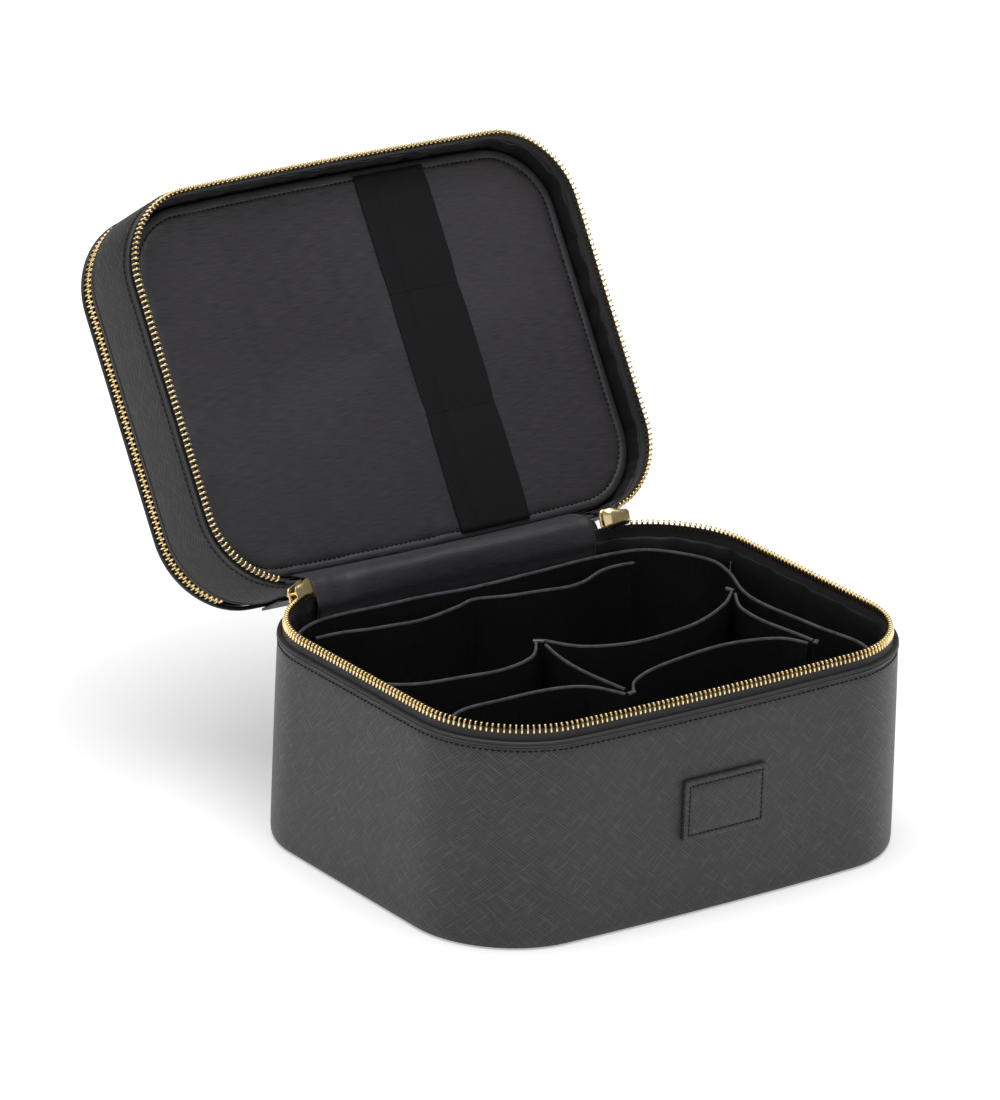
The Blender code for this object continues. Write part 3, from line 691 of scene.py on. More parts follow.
def add_stage():
    world = bpy.data.worlds.new("studio")
    world.use_nodes = True
    world.node_tree.nodes["Background"].inputs["Color"].default_value = (1.0, 1.0, 1.0, 1.0)
    world.node_tree.nodes["Background"].inputs["Strength"].default_value = WORLD_STRENGTH
    scene = bpy.context.scene
    scene.world = world
    scene.view_settings.view_transform = "Standard"
    bm = bmesh.new()
    bmesh.ops.create_grid(bm, x_segments=24, y_segments=24, size=FLOOR_HALF_WIDTH)
    mesh = bpy.data.meshes.new("floor")
    bm.to_mesh(mesh)
    bm.free()
    mesh.materials.append(make_floor())
    floor = bpy.data.objects.new("floor", mesh)
    scene.collection.objects.link(floor)
    floor.location.z = FLOOR_LEVEL
    add_light("overhead_bank", (-0.05, -0.05, 2.4), (2.5, 2.3), 52.0)
    add_light("front_bank", (-0.9, -2.4, 1.1), (1.9, 1.7), 6.0)
    add_light("left_bank", (-2.2, 0.2, 0.9), (1.6, 1.6), 4.0)


add_camera()
add_stage()


# ---- finishing a piece -----------------------------------------------------
def place(item, body, slot=None, *nodes):
    """The piece rides on its body and stands for these CAD nodes; slot is not used."""
    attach(item, body)
    if nodes:
        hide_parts(*nodes)
    return item


def wavy(amount, wavelength, seed, rows=None):
    """A ripple that pushes chosen rows in and out, and a little up and down."""
    rng = random.Random(seed)
    terms = [
        (rng.uniform(0.6, 1.6), rng.uniform(0, 2 * math.pi), rng.uniform(0.4, 1.0)) for _ in range(6)
    ]

    def ripple(row, index):
        if rows is not None and index not in rows:
            return row
        along = distances(row)[: len(row)]
        total = along[-1] + np.linalg.norm(row[0] - row[-1])
        wave = np.zeros(len(row))
        for speed, phase, weight in terms:
            turns = max(1, round(speed * total / wavelength))
            wave += weight * np.sin(2 * math.pi * turns * along / total + phase)
        wave *= amount / 2.0
        ahead = np.roll(row, -1, axis=0) - np.roll(row, 1, axis=0)
        outward = np.column_stack([ahead[:, 1], -ahead[:, 0], np.zeros(len(row))])
        outward /= np.maximum(np.linalg.norm(outward, axis=1), 1e-9)[:, None]
        row = row + outward * wave[:, None]
        row[:, 2] += 0.35 * wave
        return row

    return ripple


# ---- the case ---------------------------------------------------------------
WALL_PROFILE = (
    (2.6, 0.9), (1.5, 0.5), (0.8, 0.7), (0.3, 1.6), (0.0, 4.0), (-0.1, 20.0), (-0.1, 45.0), (-0.1, 70.0),
    (0.0, 88.0), (0.15, 91.2), (0.45, 92.2), (0.5, 93.3), (0.9, 93.5), (1.5, 93.4), (1.5, 80.0),
    (1.5, 45.0), (1.5, 10.0), (1.7, 3.2), (2.6, 2.2),
)
BINDING_PROFILE = (
    (1.9, 93.9), (0.5, 93.7), (-0.15, 93.85), (-0.35, 94.3), (-0.2, 94.8), (0.05, 94.95), (-0.05, 95.15),
    (-0.2, 95.5), (-0.05, 95.95), (0.5, 96.25), (1.3, 96.25), (1.85, 96.0),
)


def build_walls():
    wall = sweep("case_wall_leather", CASE, WALL_PROFILE, [HATCHED])
    place(wall, "case", "crosshatch_leather", "outer_wall")
    base_profile = ((3.0, 0.0), (2.7, 0.25), (2.65, 0.7), (2.8, 1.1), (3.2, 1.3))
    rows = [CASE.ring(inset * MM, level * MM) for inset, level in base_profile]
    base = loft("base_leather", rows, [BINDING], closed=True, cap=True)
    place(base, "case", "crosshatch_leather", "base_panel")
    binding = sweep("rim_binding_leather", CASE, BINDING_PROFILE, [BINDING])
    place(binding, "case", "crosshatch_leather", "rim_binding")
    line = CASE.ring(0.25 * MM, 92.0 * MM)
    stitches("rim_stitching", line, away_from_middle, "case")


def tape_profile(points, thickness=0.6):
    """A thin strip's closed cross-section from its middle line."""
    line = np.array(points, float)
    ahead = np.gradient(line, axis=0)
    normal = np.column_stack([ahead[:, 1], -ahead[:, 0]])
    normal /= np.linalg.norm(normal, axis=1)[:, None]
    outer = line + normal * thickness / 2
    inner = line - normal * thickness / 2
    return [tuple(p) for p in np.vstack([outer, inner[::-1]])]


TOOTH = stack(
    (
        (-2.6, 0.40, 0.95), (-2.35, 0.56, 1.2), (-0.5, 0.58, 1.25), (0.0, 0.46, 1.1),
        (0.35, 0.58, 1.2), (0.9, 0.60, 1.15), (1.25, 0.48, 0.8), (1.35, 0.25, 0.35),
    )
)


def teeth(name, shape, inset, level, body, up=1.0, lean=0.0, phase=0.0, move=STAY, ends=ZIP_ENDS):
    """One half of a metal zip: a tooth every pitch round the outline."""
    line = shape.ring(inset * MM, level * MM, ends)
    places, tangents = spaced(line, TOOTH_PITCH, phase=phase)
    outward = np.array([away_from_middle(t) for t in tangents])
    ups = np.array((0.0, 0.0, up)) * math.cos(lean) - outward * math.sin(lean)
    row = many(name, places, tangents, ups, *TOOTH, GOLD, move)
    return place(row, body, "pale_gold_metal")


def build_rim():
    middle = ((2.45, 92.4), (2.5, 94.2), (2.65, 96.2), (3.1, 98.4), (3.75, 100.9))
    tape = sweep("rim_zip_tape", CASE, tape_profile(middle, 0.7), [TAPE], ends=TAPE_ENDS)
    place(tape, "case", "zip_tape", "rim_tape")
    row = teeth("rim_zip_teeth", CASE, 3.8, 101.7, "case", lean=math.radians(14))
    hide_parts("rim_teeth")


def build_lining():
    """The satin tub inside the walls: a wall that wrinkles at its top seam, and a floor."""
    levels = (4.3, 8.0, 25.0, 50.0, 70.0, 80.0, 87.0, 91.0, 93.6, 94.9)
    insets = (4.4, 4.1, 4.1, 4.1, 4.15, 4.3, 4.35, 4.3, 3.9, 3.45)
    ripple = wavy(0.55 * MM, 21 * MM, 4, rows=range(4, 10))
    fine = wavy(0.22 * MM, 7 * MM, 9, rows=range(6, 10))
    rows = []
    for index, (inset, level) in enumerate(zip(insets, levels)):
        rows.append(fine(ripple(CASE.ring(inset * MM, level * MM), index), index))
    rows = [rows[0] * np.array((s, s, 1.0)) for s in (0.02, 0.5, 0.97)] + rows
    lining = loft("body_satin", rows, [SHADED_SATIN], closed=True)
    solid = lining.modifiers.new("thickness", "SOLIDIFY")
    solid.thickness, solid.offset = 0.35 * MM, 0.0
    place(lining, "case", "satin_lining", "body_lining")


def build_patch():
    low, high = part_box("front_patch")
    centre_x, centre_z = (low.x + high.x) / 2, (low.z + high.z) / 2
    half_w, half_h = (high.x - low.x) / 2, (high.z - low.z) / 2
    face = low.y
    depth = high.y - low.y
    levels = (
        (0.0, 0.15), (0.0, 0.55), (0.25, 0.9), (0.7, 1.0), (2.3, 1.0), (2.75, 0.86), (3.2, 1.0), (6.0, 1.08),
    )
    rows = []
    for inset, rise in levels:
        radius = max(1.6 - inset, 0.35) * MM
        ring = []
        w, h = half_w - inset * MM, half_h - inset * MM
        for sx, sz, first in ((1, 1, 0), (-1, 1, 90), (-1, -1, 180), (1, -1, 270)):
            for step in range(5):
                angle = math.radians(first + 90 * step / 4)
                x = centre_x + sx * (w - radius) + radius * math.cos(angle)
                z = centre_z + sz * (h - radius) + radius * math.sin(angle)
                bow = CASE_BOW * ((x / WALL_HIGH.x) ** 2)
                ring.append((x, high.y - depth * rise + bow, z))
        rows.append(ring)
    back = [(x, high.y + CASE_BOW * (x / WALL_HIGH.x) ** 2, z) for x, _, z in rows[0]]
    rows.insert(0, back)
    patch = loft("front_patch_leather", rows, [HATCHED], closed=True, cap=True)
    layer = patch.data.uv_layers["pattern"].data
    for loop in patch.data.loops:
        spot = patch.data.vertices[loop.vertex_index].co
        layer[loop.index].uv = (spot.x, spot.z)
    place(patch, "case", "crosshatch_leather", "front_patch")
    line = np.array(rows[6])
    line[:, 1] = face + 0.12 * MM + CASE_BOW * (line[:, 0] / WALL_HIGH.x) ** 2
    stitches("patch_stitching", line, lambda tangent: np.array((0.0, -1.0, 0.0)), "case", pitch=2.2 * MM)


# ---- the organiser -----------------------------------------------------------
ORGANISER_LOOP = (
    (0, 87.5), (-40, 89), (-68, 90.5), (-90, 86.5), (-106, 74), (-115, 50),
    (-116.5, 10), (-116, -40), (-106, -74), (-88, -87.5), (-60, -91), (0, -91.5),
    (60, -90.5), (86, -86.5), (102, -73), (107.5, -56), (103, -30), (100, 0),
    (102, 20), (110.5, 42), (113.5, 60), (105, 76), (91, 86.5), (64, 90), (36, 87.5),
)
STRIPS = {
    "back_pockets": (
        (-90.5, 81.5), (-75, 82.5), (-58, 78), (-38, 76), (-14, 81), (0, 85.2),
        (20, 79), (40, 76), (55, 78.5), (70, 84), (88, 84.2),
    ),
    "front_pocket": (
        (-62, -88.6), (-48, -79), (-32, -68.5), (-12, -61.5), (8, -60.5), (36, -66),
        (64, -75), (86, -82),
    ),
    "divider_rear_left": (
        (-114.2, 23), (-104, 12), (-88, 3.5), (-66, -1), (-46, -1.5), (-28, 3.5), (-16.4, 16.5),
    ),
    "divider_rear_right": (
        (-12.2, 16.5), (-3, 3), (15, -4), (36, -5), (61, -1), (84, 11), (98.3, 23.4),
    ),
    "divider_centre": ((-14.5, 12.0), (-17.5, -2), (-18.5, -18), (-17.5, -36), (-16.2, -49.5)),
    "divider_right": ((96.2, 18.4), (89, 5), (87.5, -12), (89, -32), (90.4, -46.5)),
    "divider_front_right": (
        (87.6, -46.5), (80, -35.5), (62, -29.5), (38, -30), (14, -34.5), (-5, -42), (-14.4, -53.5),
    ),
    "divider_front_left": (
        (-18.2, -53.5), (-28, -38.5), (-48, -31.5), (-70, -30), (-94, -33.5), (-112.4, -46),
    ),
}
STRIP_THICKNESS = 1.4 * MM


def leather_strip(name, plan, low, high, thickness=STRIP_THICKNESS, closed=False, sag=0.35 * MM):
    """A strip on its edge: pebbled faces, and a rounded painted edge along the top."""
    flat = np.column_stack([plan, np.zeros(len(plan))])
    ahead = np.roll(flat, -1, axis=0) - np.roll(flat, 1, axis=0)
    if not closed:
        ahead = np.gradient(flat, axis=0)
    side = np.column_stack([-ahead[:, 1], ahead[:, 0], np.zeros(len(flat))])
    side /= np.linalg.norm(side, axis=1)[:, None]
    along = distances(flat)[: len(flat)]
    rng = random.Random(name)
    wave = sum(
        rng.uniform(0.3, 1.0) * np.sin(2 * math.pi * along / (rng.uniform(40, 90) * MM) + rng.uniform(0, 6))
        for _ in range(3)
    )
    half = thickness / 2
    section = (
        (-half, low), (-half, high - 1.1 * MM),
        (-half * 0.96, high - 0.45 * MM), (-half * 0.6, high - 0.1 * MM),
        (0.0, high), (half * 0.6, high - 0.1 * MM), (half * 0.96, high - 0.45 * MM), (half, high - 1.1 * MM),
        (half, low),
    )
    rows = []
    for offset, level in section:
        row = flat + side * offset
        row[:, 2] = level + (sag * wave if level > low + MM else 0.0)
        rows.append(row)
    paints = [0, 1, 1, 1, 1, 1, 1, 0, 0]
    return loft(
        name, rows, [PEBBLED, EDGE_PAINT], closed=closed, wrap=True, row_mats=paints, cap=not closed
    )


def nib(name, at, heading, low, high):
    """A thicker knot of leather where strips are sewn together back to back."""
    length = 2.4 * MM
    direction = np.array((math.cos(heading), math.sin(heading)))
    plan = np.array([at + direction * length * (k - 1.5) / 1.5 for k in range(4)])
    item = leather_strip(name, plan, low, high, 2.2 * MM, sag=0.0)
    return place(item, "case", "pebbled_leather")


def vertical_stitches(name, x, y, normal, low, high, body="case"):
    """A row of stitches that runs up a wall."""
    count = 24
    line = np.column_stack([np.full(count, x), np.full(count, y), np.linspace(low, high, count)])
    return stitches(name, line, lambda tangent: np.array(normal), body, closed=False, pitch=2.6 * MM)


def build_organiser():
    floor_low, floor_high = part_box("organiser_floor")
    rows = [CASE.ring(i * MM, z) for i, z in ((5.9, floor_low.z), (5.6, floor_low.z + 0.3 * MM))]
    rows += [CASE.ring(5.6 * MM, floor_high.z - 0.3 * MM), CASE.ring(5.9 * MM, floor_high.z)]
    floor = loft("organiser_floor_leather", rows, [PEBBLED], closed=True, cap=True)
    place(floor, "case", "pebbled_leather", "organiser_floor")
    low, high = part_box("organiser_wall")
    wall = leather_strip(
        "organiser_wall_leather", smooth_path(ORGANISER_LOOP, True), low.z, high.z, closed=True
    )
    place(wall, "case", "pebbled_leather", "organiser_wall")
    for node, points in STRIPS.items():
        strip_low, strip_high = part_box(node)
        item = leather_strip(node + "_leather", smooth_path(points), strip_low.z, strip_high.z)
        place(item, "case", "pebbled_leather", node)
    top = high.z
    knots = (
        ("nib_rear", (-14.8, 17.2), 150), ("nib_right", (97.4, 23.6), 100),
        ("nib_front_right", (90.2, -48.4), 40), ("nib_front", (-16.6, -54.2), 10),
    )
    for name, (x, y), degrees in knots:
        nib(name, np.array((x, y)) * MM, math.radians(degrees), low.z, top + 0.4 * MM)
    vertical_stitches("pocket_seam_stitches", 1.0 * MM, 83.4 * MM, (0, -1, 0), 12 * MM, 84 * MM)
    vertical_stitches("pocket_edge_stitches", 84.5 * MM, 82.6 * MM, (0, -1, 0), 12 * MM, 84 * MM)
    vertical_stitches("pocket_left_stitches", -84.5 * MM, 80.8 * MM, (0, -1, 0), 12 * MM, 81 * MM)


# ---- the lid -----------------------------------------------------------------
LID_BINDING_PROFILE = (
    (1.9, 7.1), (0.5, 7.3), (-0.1, 7.15), (-0.3, 6.7), (-0.15, 6.2), (0.05, 6.05), (-0.05, 5.85),
    (-0.15, 5.5), (0.0, 5.1), (0.5, 4.85), (1.3, 4.85), (1.85, 5.05),
)
BAND_PROFILE = (
    (0.5, 7.6), (0.1, 8.1), (-0.1, 9.5), (-0.25, 16.0), (-0.3, 23.0), (-0.25, 30.0), (-0.1, 36.6),
    (0.1, 37.9), (0.5, 38.3), (1.2, 38.3), (1.5, 37.5), (1.5, 23.0), (1.5, 8.4), (1.2, 7.6),
)


def lid_sweep(name, profile, mats, body, slot, nodes, ends=None, ripple=None):
    item = sweep(name, LID, profile, mats, ends=ends, ripple=ripple, move=LID_OPEN)
    return place(item, body, slot, *nodes)


def lid_line(inset, level, ends=None):
    return LID.ring(inset * MM, level * MM, ends)


def build_lid_band():
    lid_sweep("lid_band_leather", BAND_PROFILE, [HATCHED_PAINTED_SHADE], "lid", "crosshatch_leather", ["lid_band"])
    lid_sweep(
        "lid_binding_leather", LID_BINDING_PROFILE, [BINDING], "lid", "crosshatch_leather", ["lid_binding"]
    )
    stitches("lid_band_stitching", lid_line(0.0, 8.9), away_from_middle, "lid", move=LID_OPEN)
    roll = shifted(rounded_bar(2.0, 2.0), 0.85, 39.4)
    lid_sweep(
        "lid_outer_binding_leather", roll, [BINDING], "lid", "crosshatch_leather", ["lid_outer_binding"]
    )


def build_lid_zips():
    middle = ((1.5, 1.4), (1.6, 2.8), (2.3, 4.8), (2.65, 6.6), (2.75, 8.0))
    lid_sweep("lid_zip_tape", tape_profile(middle), [TAPE], "lid", "zip_tape", ["lid_tape"], TAPE_ENDS)
    row = teeth(
        "lid_zip_teeth", LID, 1.5, 0.25, "lid", up=-1.0, phase=0.5, move=LID_OPEN, ends=LID_TEETH_ENDS
    )
    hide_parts("lid_teeth")
    middle = ((2.4, 38.6), (2.35, 40.2), (1.7, 41.6), (1.4, 42.8))
    lid_sweep(
        "lid_outer_zip_tape", tape_profile(middle), [TAPE], "lid", "zip_tape", ["lid_outer_tape"], ZIP_ENDS
    )
    row = teeth("lid_outer_zip_teeth", LID, 1.5, 44.75, "lid", move=LID_OPEN)
    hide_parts("lid_outer_teeth")
    middle = ((1.4, 47.8), (1.6, 48.4), (2.2, 48.8), (2.4, 49.2))
    lid_sweep(
        "cover_zip_tape", tape_profile(middle), [TAPE], "cover", "zip_tape", ["cover_tape"], ZIP_ENDS
    )
    row = teeth("cover_zip_teeth", LID, 1.5, 45.95, "cover", up=-1.0, phase=0.5, move=LID_OPEN)
    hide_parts("cover_teeth")


def build_gusset():
    """Gathered satin between the zip tape and the padded panel."""
    levels = (6.4, 7.2, 8.4, 10.5, 13.0, 16.0, 22.0, 30.0, 38.0)
    insets = (3.25, 3.55, 3.8, 3.95, 4.0, 3.9, 3.75, 3.75, 3.75)
    broad = wavy(0.5 * MM, 17 * MM, 21, rows=range(1, 6))
    fine = wavy(0.3 * MM, 6.5 * MM, 22, rows=range(1, 5))
    rows = []
    for index, (inset, level) in enumerate(zip(insets, levels)):
        rows.append(fine(broad(LID_FINE.ring(inset * MM, level * MM), index), index))
    gusset = loft("lid_gusset_satin", rows, [SHADED_SATIN], closed=True, move=LID_OPEN)
    solid = gusset.modifiers.new("thickness", "SOLIDIFY")
    solid.thickness, solid.offset = 0.3 * MM, 0.0
    place(gusset, "lid", "satin_lining", "lid_gusset")


class FineOutline(Outline):
    """The same outline with more points, for cloth that puckers."""

    corner_steps = 34
    side_steps = 44


LID_FINE = FineOutline(
    BAND_HIGH.x, BAND_HIGH.y - LID_BOW, LID_BOW, LID_CORNER, LID_CORNER, 1.0, LID_ZERO
)
STITCH_INSET = 10.0


def flat_pattern(item, back=STAY):
    """Lays the pattern map flat on a panel's own plane."""
    layer = item.data.uv_layers["pattern"].data
    spots = [back @ v.co for v in item.data.vertices]
    for loop in item.data.loops:
        layer[loop.index].uv = spots[loop.vertex_index].xy


def satin_panel(name, level, rise, mat, facing=-1.0, pucker=0.65, crown=0.5):
    """A padded panel: a soft edge, a sewn line inside it, and puckers that start at the stitches."""
    edge = (
        (5.9, 3.0), (5.6, 2.2), (5.7, 1.2), (6.1, 0.5), (7.0, 0.12), (8.4, 0.05), (9.4, 0.45),
        (STITCH_INSET, 0.75), (10.7, 0.4), (12.2, 0.0), (14.5, -0.1), (18.0, -0.15),
    )
    rows = []
    for inset, depth in edge:
        rows.append(LID_FINE.ring(inset * MM, (level - facing * depth * rise) * MM))
    inner = rows[-1]
    for share in np.linspace(1.0, 0.03, 22)[1:]:
        row = inner.copy()
        row[:, :2] *= share
        row[:, 2] += facing * crown * MM * (1.0 - share**2)
        rows.append(row)
    for index, row in enumerate(rows[3:], start=3):
        near = math.exp(-(((index - 8) / 3.2) ** 2))
        for point in row:
            spot = Vector((point[0], point[1], level * MM))
            small = noise.noise(spot * 105.0) * near
            broad = noise.noise(spot * 19.0 + Vector((3.1, 0, 0)))
            point[2] -= facing * MM * (pucker * small + 0.28 * broad)
    back = rows[0].copy()
    back[:, 2] = LID_ZERO + (level - facing * 3.4 * rise) * MM
    rows.insert(0, back)
    panel = loft(name, rows, [mat], closed=True, cap=True, move=LID_OPEN)
    flat_pattern(panel, LID_SHUT)
    return panel


def build_lid_panel():
    panel = satin_panel("lid_panel_satin", 13.5, 1.0, SATIN)
    place(panel, "lid", "satin_lining", "lid_panel")
    line = LID_FINE.ring(STITCH_INSET * MM, 13.95 * MM)
    stitches(
        "lid_panel_stitching", line, lambda tangent: np.array((0.0, 0.0, -1.0)), "lid", pitch=2.6 * MM,
        move=LID_OPEN,
    )
    shelf = satin_panel(
        "compartment_floor_satin", 19.95, 0.25, SHADED_SATIN, facing=1.0, pucker=0.2, crown=0.3
    )
    place(shelf, "lid", "satin_lining", "compartment_lining")
    inside = satin_panel("cover_inside_satin", 46.9, 0.22, SHADED_SATIN, facing=-1.0, pucker=0.2, crown=0.3)
    place(inside, "cover", "satin_lining", "cover_lining")


STRAP_SEAMS = (-29.0, 29.0)


def build_strap():
    """Flat elastic, sewn across twice and tucked in at both ends, that bows between the seams."""
    low, high = shut_box("brush_strap")
    left, right = low.x, high.x
    ends = (low.y, high.y)
    across = np.array((0.0, 0.012, 0.03, 0.10, 0.25, 0.262, 0.28, 0.45, 0.62, 0.80, 0.93, 0.97, 0.988, 1.0))
    lift = np.array((0.0, 0.25, 0.38, 0.42, 0.40, 0.12, 0.40, 0.42, 0.42, 0.42, 0.42, 0.38, 0.25, 0.0))
    stations = np.linspace(ends[0], ends[1], 70)
    knots = np.array((ends[0] / MM, *STRAP_SEAMS, ends[1] / MM)) * MM
    rows = []
    for y in stations:
        gap = np.abs(knots - y).min()
        free = 1.0 - math.exp(-((gap / (7 * MM)) ** 2))
        row = np.zeros((len(across), 3))
        row[:, 0] = left + (right - left) * across
        pull = 0.5 * MM * (1 - free)
        row[:, 0] += pull * (0.5 - across) * 2
        row[:, 1] = y
        bow = np.sin(math.pi * across) * 0.35 * free
        row[:, 2] = LID_ZERO + (13.1 - lift - bow - 0.2 * free) * MM
        rows.append(row)
    strap = loft("brush_strap_elastic", rows, [ELASTIC], move=LID_OPEN)
    flat_pattern(strap, LID_SHUT)
    solid = strap.modifiers.new("thickness", "SOLIDIFY")
    solid.thickness, solid.offset = 0.4 * MM, 0.0
    place(strap, "lid", "elastic_webbing", "brush_strap")
    for label, y in (("top", STRAP_SEAMS[0]), ("bottom", STRAP_SEAMS[1])):
        count = 12
        line = np.column_stack(
            [np.linspace(left + 1 * MM, right - 1 * MM, count), np.full(count, y * MM),
             np.full(count, LID_ZERO + 12.55 * MM)]
        )
        stitches(
            f"strap_seam_{label}", line, lambda tangent: np.array((0.0, 0.0, -1.0)), "lid", closed=False,
            pitch=2.1 * MM, move=LID_OPEN,
        )


def build_cover():
    roll = shifted(rounded_bar(2.1, 1.9), 0.85, 49.85)
    lid_sweep("cover_binding_leather", roll, [BINDING], "cover", "crosshatch_leather", ["cover_binding"])
    profile = (
        (4.0, 49.8), (2.3, 49.85), (2.15, 50.2), (2.2, 51.0), (2.6, 51.5), (3.6, 51.75), (5.2, 51.8),
        (5.9, 51.6), (6.6, 51.85), (10.0, 52.0), (16.0, 52.1),
    )
    rows = [LID_FINE.ring(inset * MM, level * MM) for inset, level in profile]
    inner = rows[-1]
    for share in np.linspace(1.0, 0.04, 14)[1:]:
        row = inner.copy()
        row[:, :2] *= share
        row[:, 2] += 0.5 * MM * (1.0 - share**2)
        rows.append(row)
    top = loft("cover_leather", rows, [HATCHED_PAINTED_SHADE], closed=True, cap=True, move=LID_OPEN)
    flat_pattern(top, LID_SHUT)
    place(top, "cover", "crosshatch_leather", "cover_panel")
    line = LID_FINE.ring(5.9 * MM, 51.65 * MM)
    stitches(
        "cover_stitching", line, lambda tangent: np.array((0.0, 0.0, 1.0)), "cover", move=LID_OPEN
    )


# ---- hinges --------------------------------------------------------------------
def back_row(shape, inset, level, xs, move=STAY):
    """Points across the back edge of an outline, at these x."""
    ring = shape.ring(inset * MM, level * MM)
    rear = ring[ring[:, 1] > 0.0]
    rear = rear[np.argsort(rear[:, 0])]
    row = np.column_stack([xs, np.interp(xs, rear[:, 0], rear[:, 1]), np.full(len(xs), ring[0, 2])])
    turned = np.array(move)
    return row @ turned[:3, :3].T + turned[:3, 3]


def smooth_rows(rows, steps=4):
    """More rows between these ones, on Catmull-Rom curves."""
    out = []
    count = len(rows)
    for index in range(count - 1):
        before, after = rows[max(index - 1, 0)], rows[min(index + 2, count - 1)]
        here, there = rows[index], rows[index + 1]
        for t in np.arange(steps) / steps:
            bend = 2 * before - 5 * here + 4 * there - after
            twist = 3 * here - before - 3 * there + after
            out.append(0.5 * (2 * here + (there - before) * t + bend * t**2 + twist * t**3))
    out.append(rows[-1])
    return out


def solid_sheet(name, rows, mat, thickness):
    item = loft(name, rows, [mat])
    solid = item.modifiers.new("thickness", "SOLIDIFY")
    solid.thickness, solid.offset = thickness, 0.0
    return item


def build_leather_hinge():
    xs = np.linspace(-83, 77.5, 61) * MM
    case_rows = [back_row(CASE, -1.2, level, xs) for level in (84.0, 92.0, 97.6)]
    lid_rows = [back_row(LID, -1.2, level, xs, LID_OPEN) for level in (3.8, 10.0, 20.0)]
    fold = (case_rows[-1] + lid_rows[0]) / 2 + np.array((0.0, -0.4 * MM, 1.1 * MM))
    rows = smooth_rows([*case_rows, fold, *lid_rows], 6)
    hinge = solid_sheet("lid_hinge_leather", rows, BINDING, 1.2 * MM)
    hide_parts("hinge_leather_case", "hinge_leather_lid")
    start, end = case_rows[-1].mean(axis=0), lid_rows[0].mean(axis=0)
    tuple(start)
    tuple(end)
    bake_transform(hinge)
    inset = -1.85
    case_line = back_row(CASE, inset, 85.6, xs[2:-2])
    stitches("hinge_case_stitching", case_line, lambda t: np.array((0.0, 1.0, 0.0)), "case", closed=False)
    lid_line_points = back_row(LID, inset, 18.6, xs[2:-2])
    stitches(
        "hinge_lid_stitching", lid_line_points, lambda t: np.array((0.0, 1.0, 0.0)), "lid", closed=False,
        move=LID_OPEN,
    )


def build_cover_hinge():
    xs = np.linspace(-78, 72, 41) * MM
    lid_rows = [back_row(LID, -1.2, level, xs, LID_OPEN) for level in (34.0, 38.0, 42.0, 44.0)]
    cover_rows = [back_row(LID, -1.2, level, xs, LID_OPEN) for level in (46.8, 48.5, 50.5)]
    rows = smooth_rows([*lid_rows, *cover_rows], 3)
    hinge = solid_sheet("cover_hinge_leather", rows, BINDING, 1.1 * MM)
    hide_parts("cover_hinge_lid_side", "cover_hinge_cover_side")
    start, end = lid_rows[-1].mean(axis=0), cover_rows[0].mean(axis=0)
    tuple(start)
    tuple(end)
    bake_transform(hinge)


def build_satin_hinge():
    """Lining that runs from the lid's panel over the fold and down behind the organiser."""
    xs = np.linspace(-84, 71, 90) * MM
    down = [back_row(CASE, 6.4, level, xs) for level in (84.0, 91.0, 96.5)]
    panel_edge = back_row(LID, 5.6, 13.4, xs, LID_OPEN)
    near_edge = back_row(LID, 5.0, 9.4, xs, LID_OPEN)
    rise = [np.column_stack([xs, np.full(len(xs), y), np.full(len(xs), z)]) for y, z in
            ((0.0945, 0.1033), (0.0988, 0.1058), (0.1042, 0.1051))]
    rows = smooth_rows([*down, *rise, near_edge, panel_edge], 6)
    for index, row in enumerate(rows):
        share = index / (len(rows) - 1)
        loose = math.sin(math.pi * share)
        for point in row:
            spot = Vector((point[0] * 2.2, point[1], point[2]))
            left = math.exp(-((point[0] + 84 * MM) / (16 * MM)) ** 2)
            fold = noise.noise(spot * 34.0) * 0.9 + noise.noise(spot * 90.0) * (0.25 + 1.3 * left)
            push = fold * loose * MM
            point[1] -= 0.5 * push
            point[2] += 0.5 * push
    hinge = solid_sheet("hinge_satin", rows, SATIN, 0.35 * MM)
    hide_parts("hinge_lining_case", "hinge_lining_lid")
    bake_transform(hinge)
    for label, x in (("left", -84 * MM), ("right", 71 * MM)):
        line = np.array([row[0 if x < 0 else -1] for row in rows[:13]])
        line[:, 0] += math.copysign(1.0 * MM, -x)
        line[:, 1] -= 0.3 * MM
        stitches(
            f"hinge_seam_{label}", line, lambda t: np.array((0.0, -0.9, 0.4)), "case", closed=False,
            pitch=2.3 * MM,
        )


# ---- sliders and pulls ------------------------------------------------------------
def plate(outline, low, high, dome=0.0, rim=0.5):
    """A plate with a bevelled rim and a domed face. The outline is (x, z) in millimetres."""
    rim_share = 1.0 - rim / max(abs(x) for x, _ in outline)
    layers = (
        (rim_share, low), (1.0, low + 0.35 * (high - low)), (1.0, low + 0.65 * (high - low)),
        (rim_share, high), (0.72, high + dome * 0.7), (0.35, high + dome),
    )
    verts = []
    for share, y in layers:
        for x, z in outline:
            verts.append((x * share * MM, y * MM, z * share * MM))
    count = len(outline)
    faces = ring_faces(len(layers), count) + end_faces(len(layers), count)
    return np.array(verts), faces


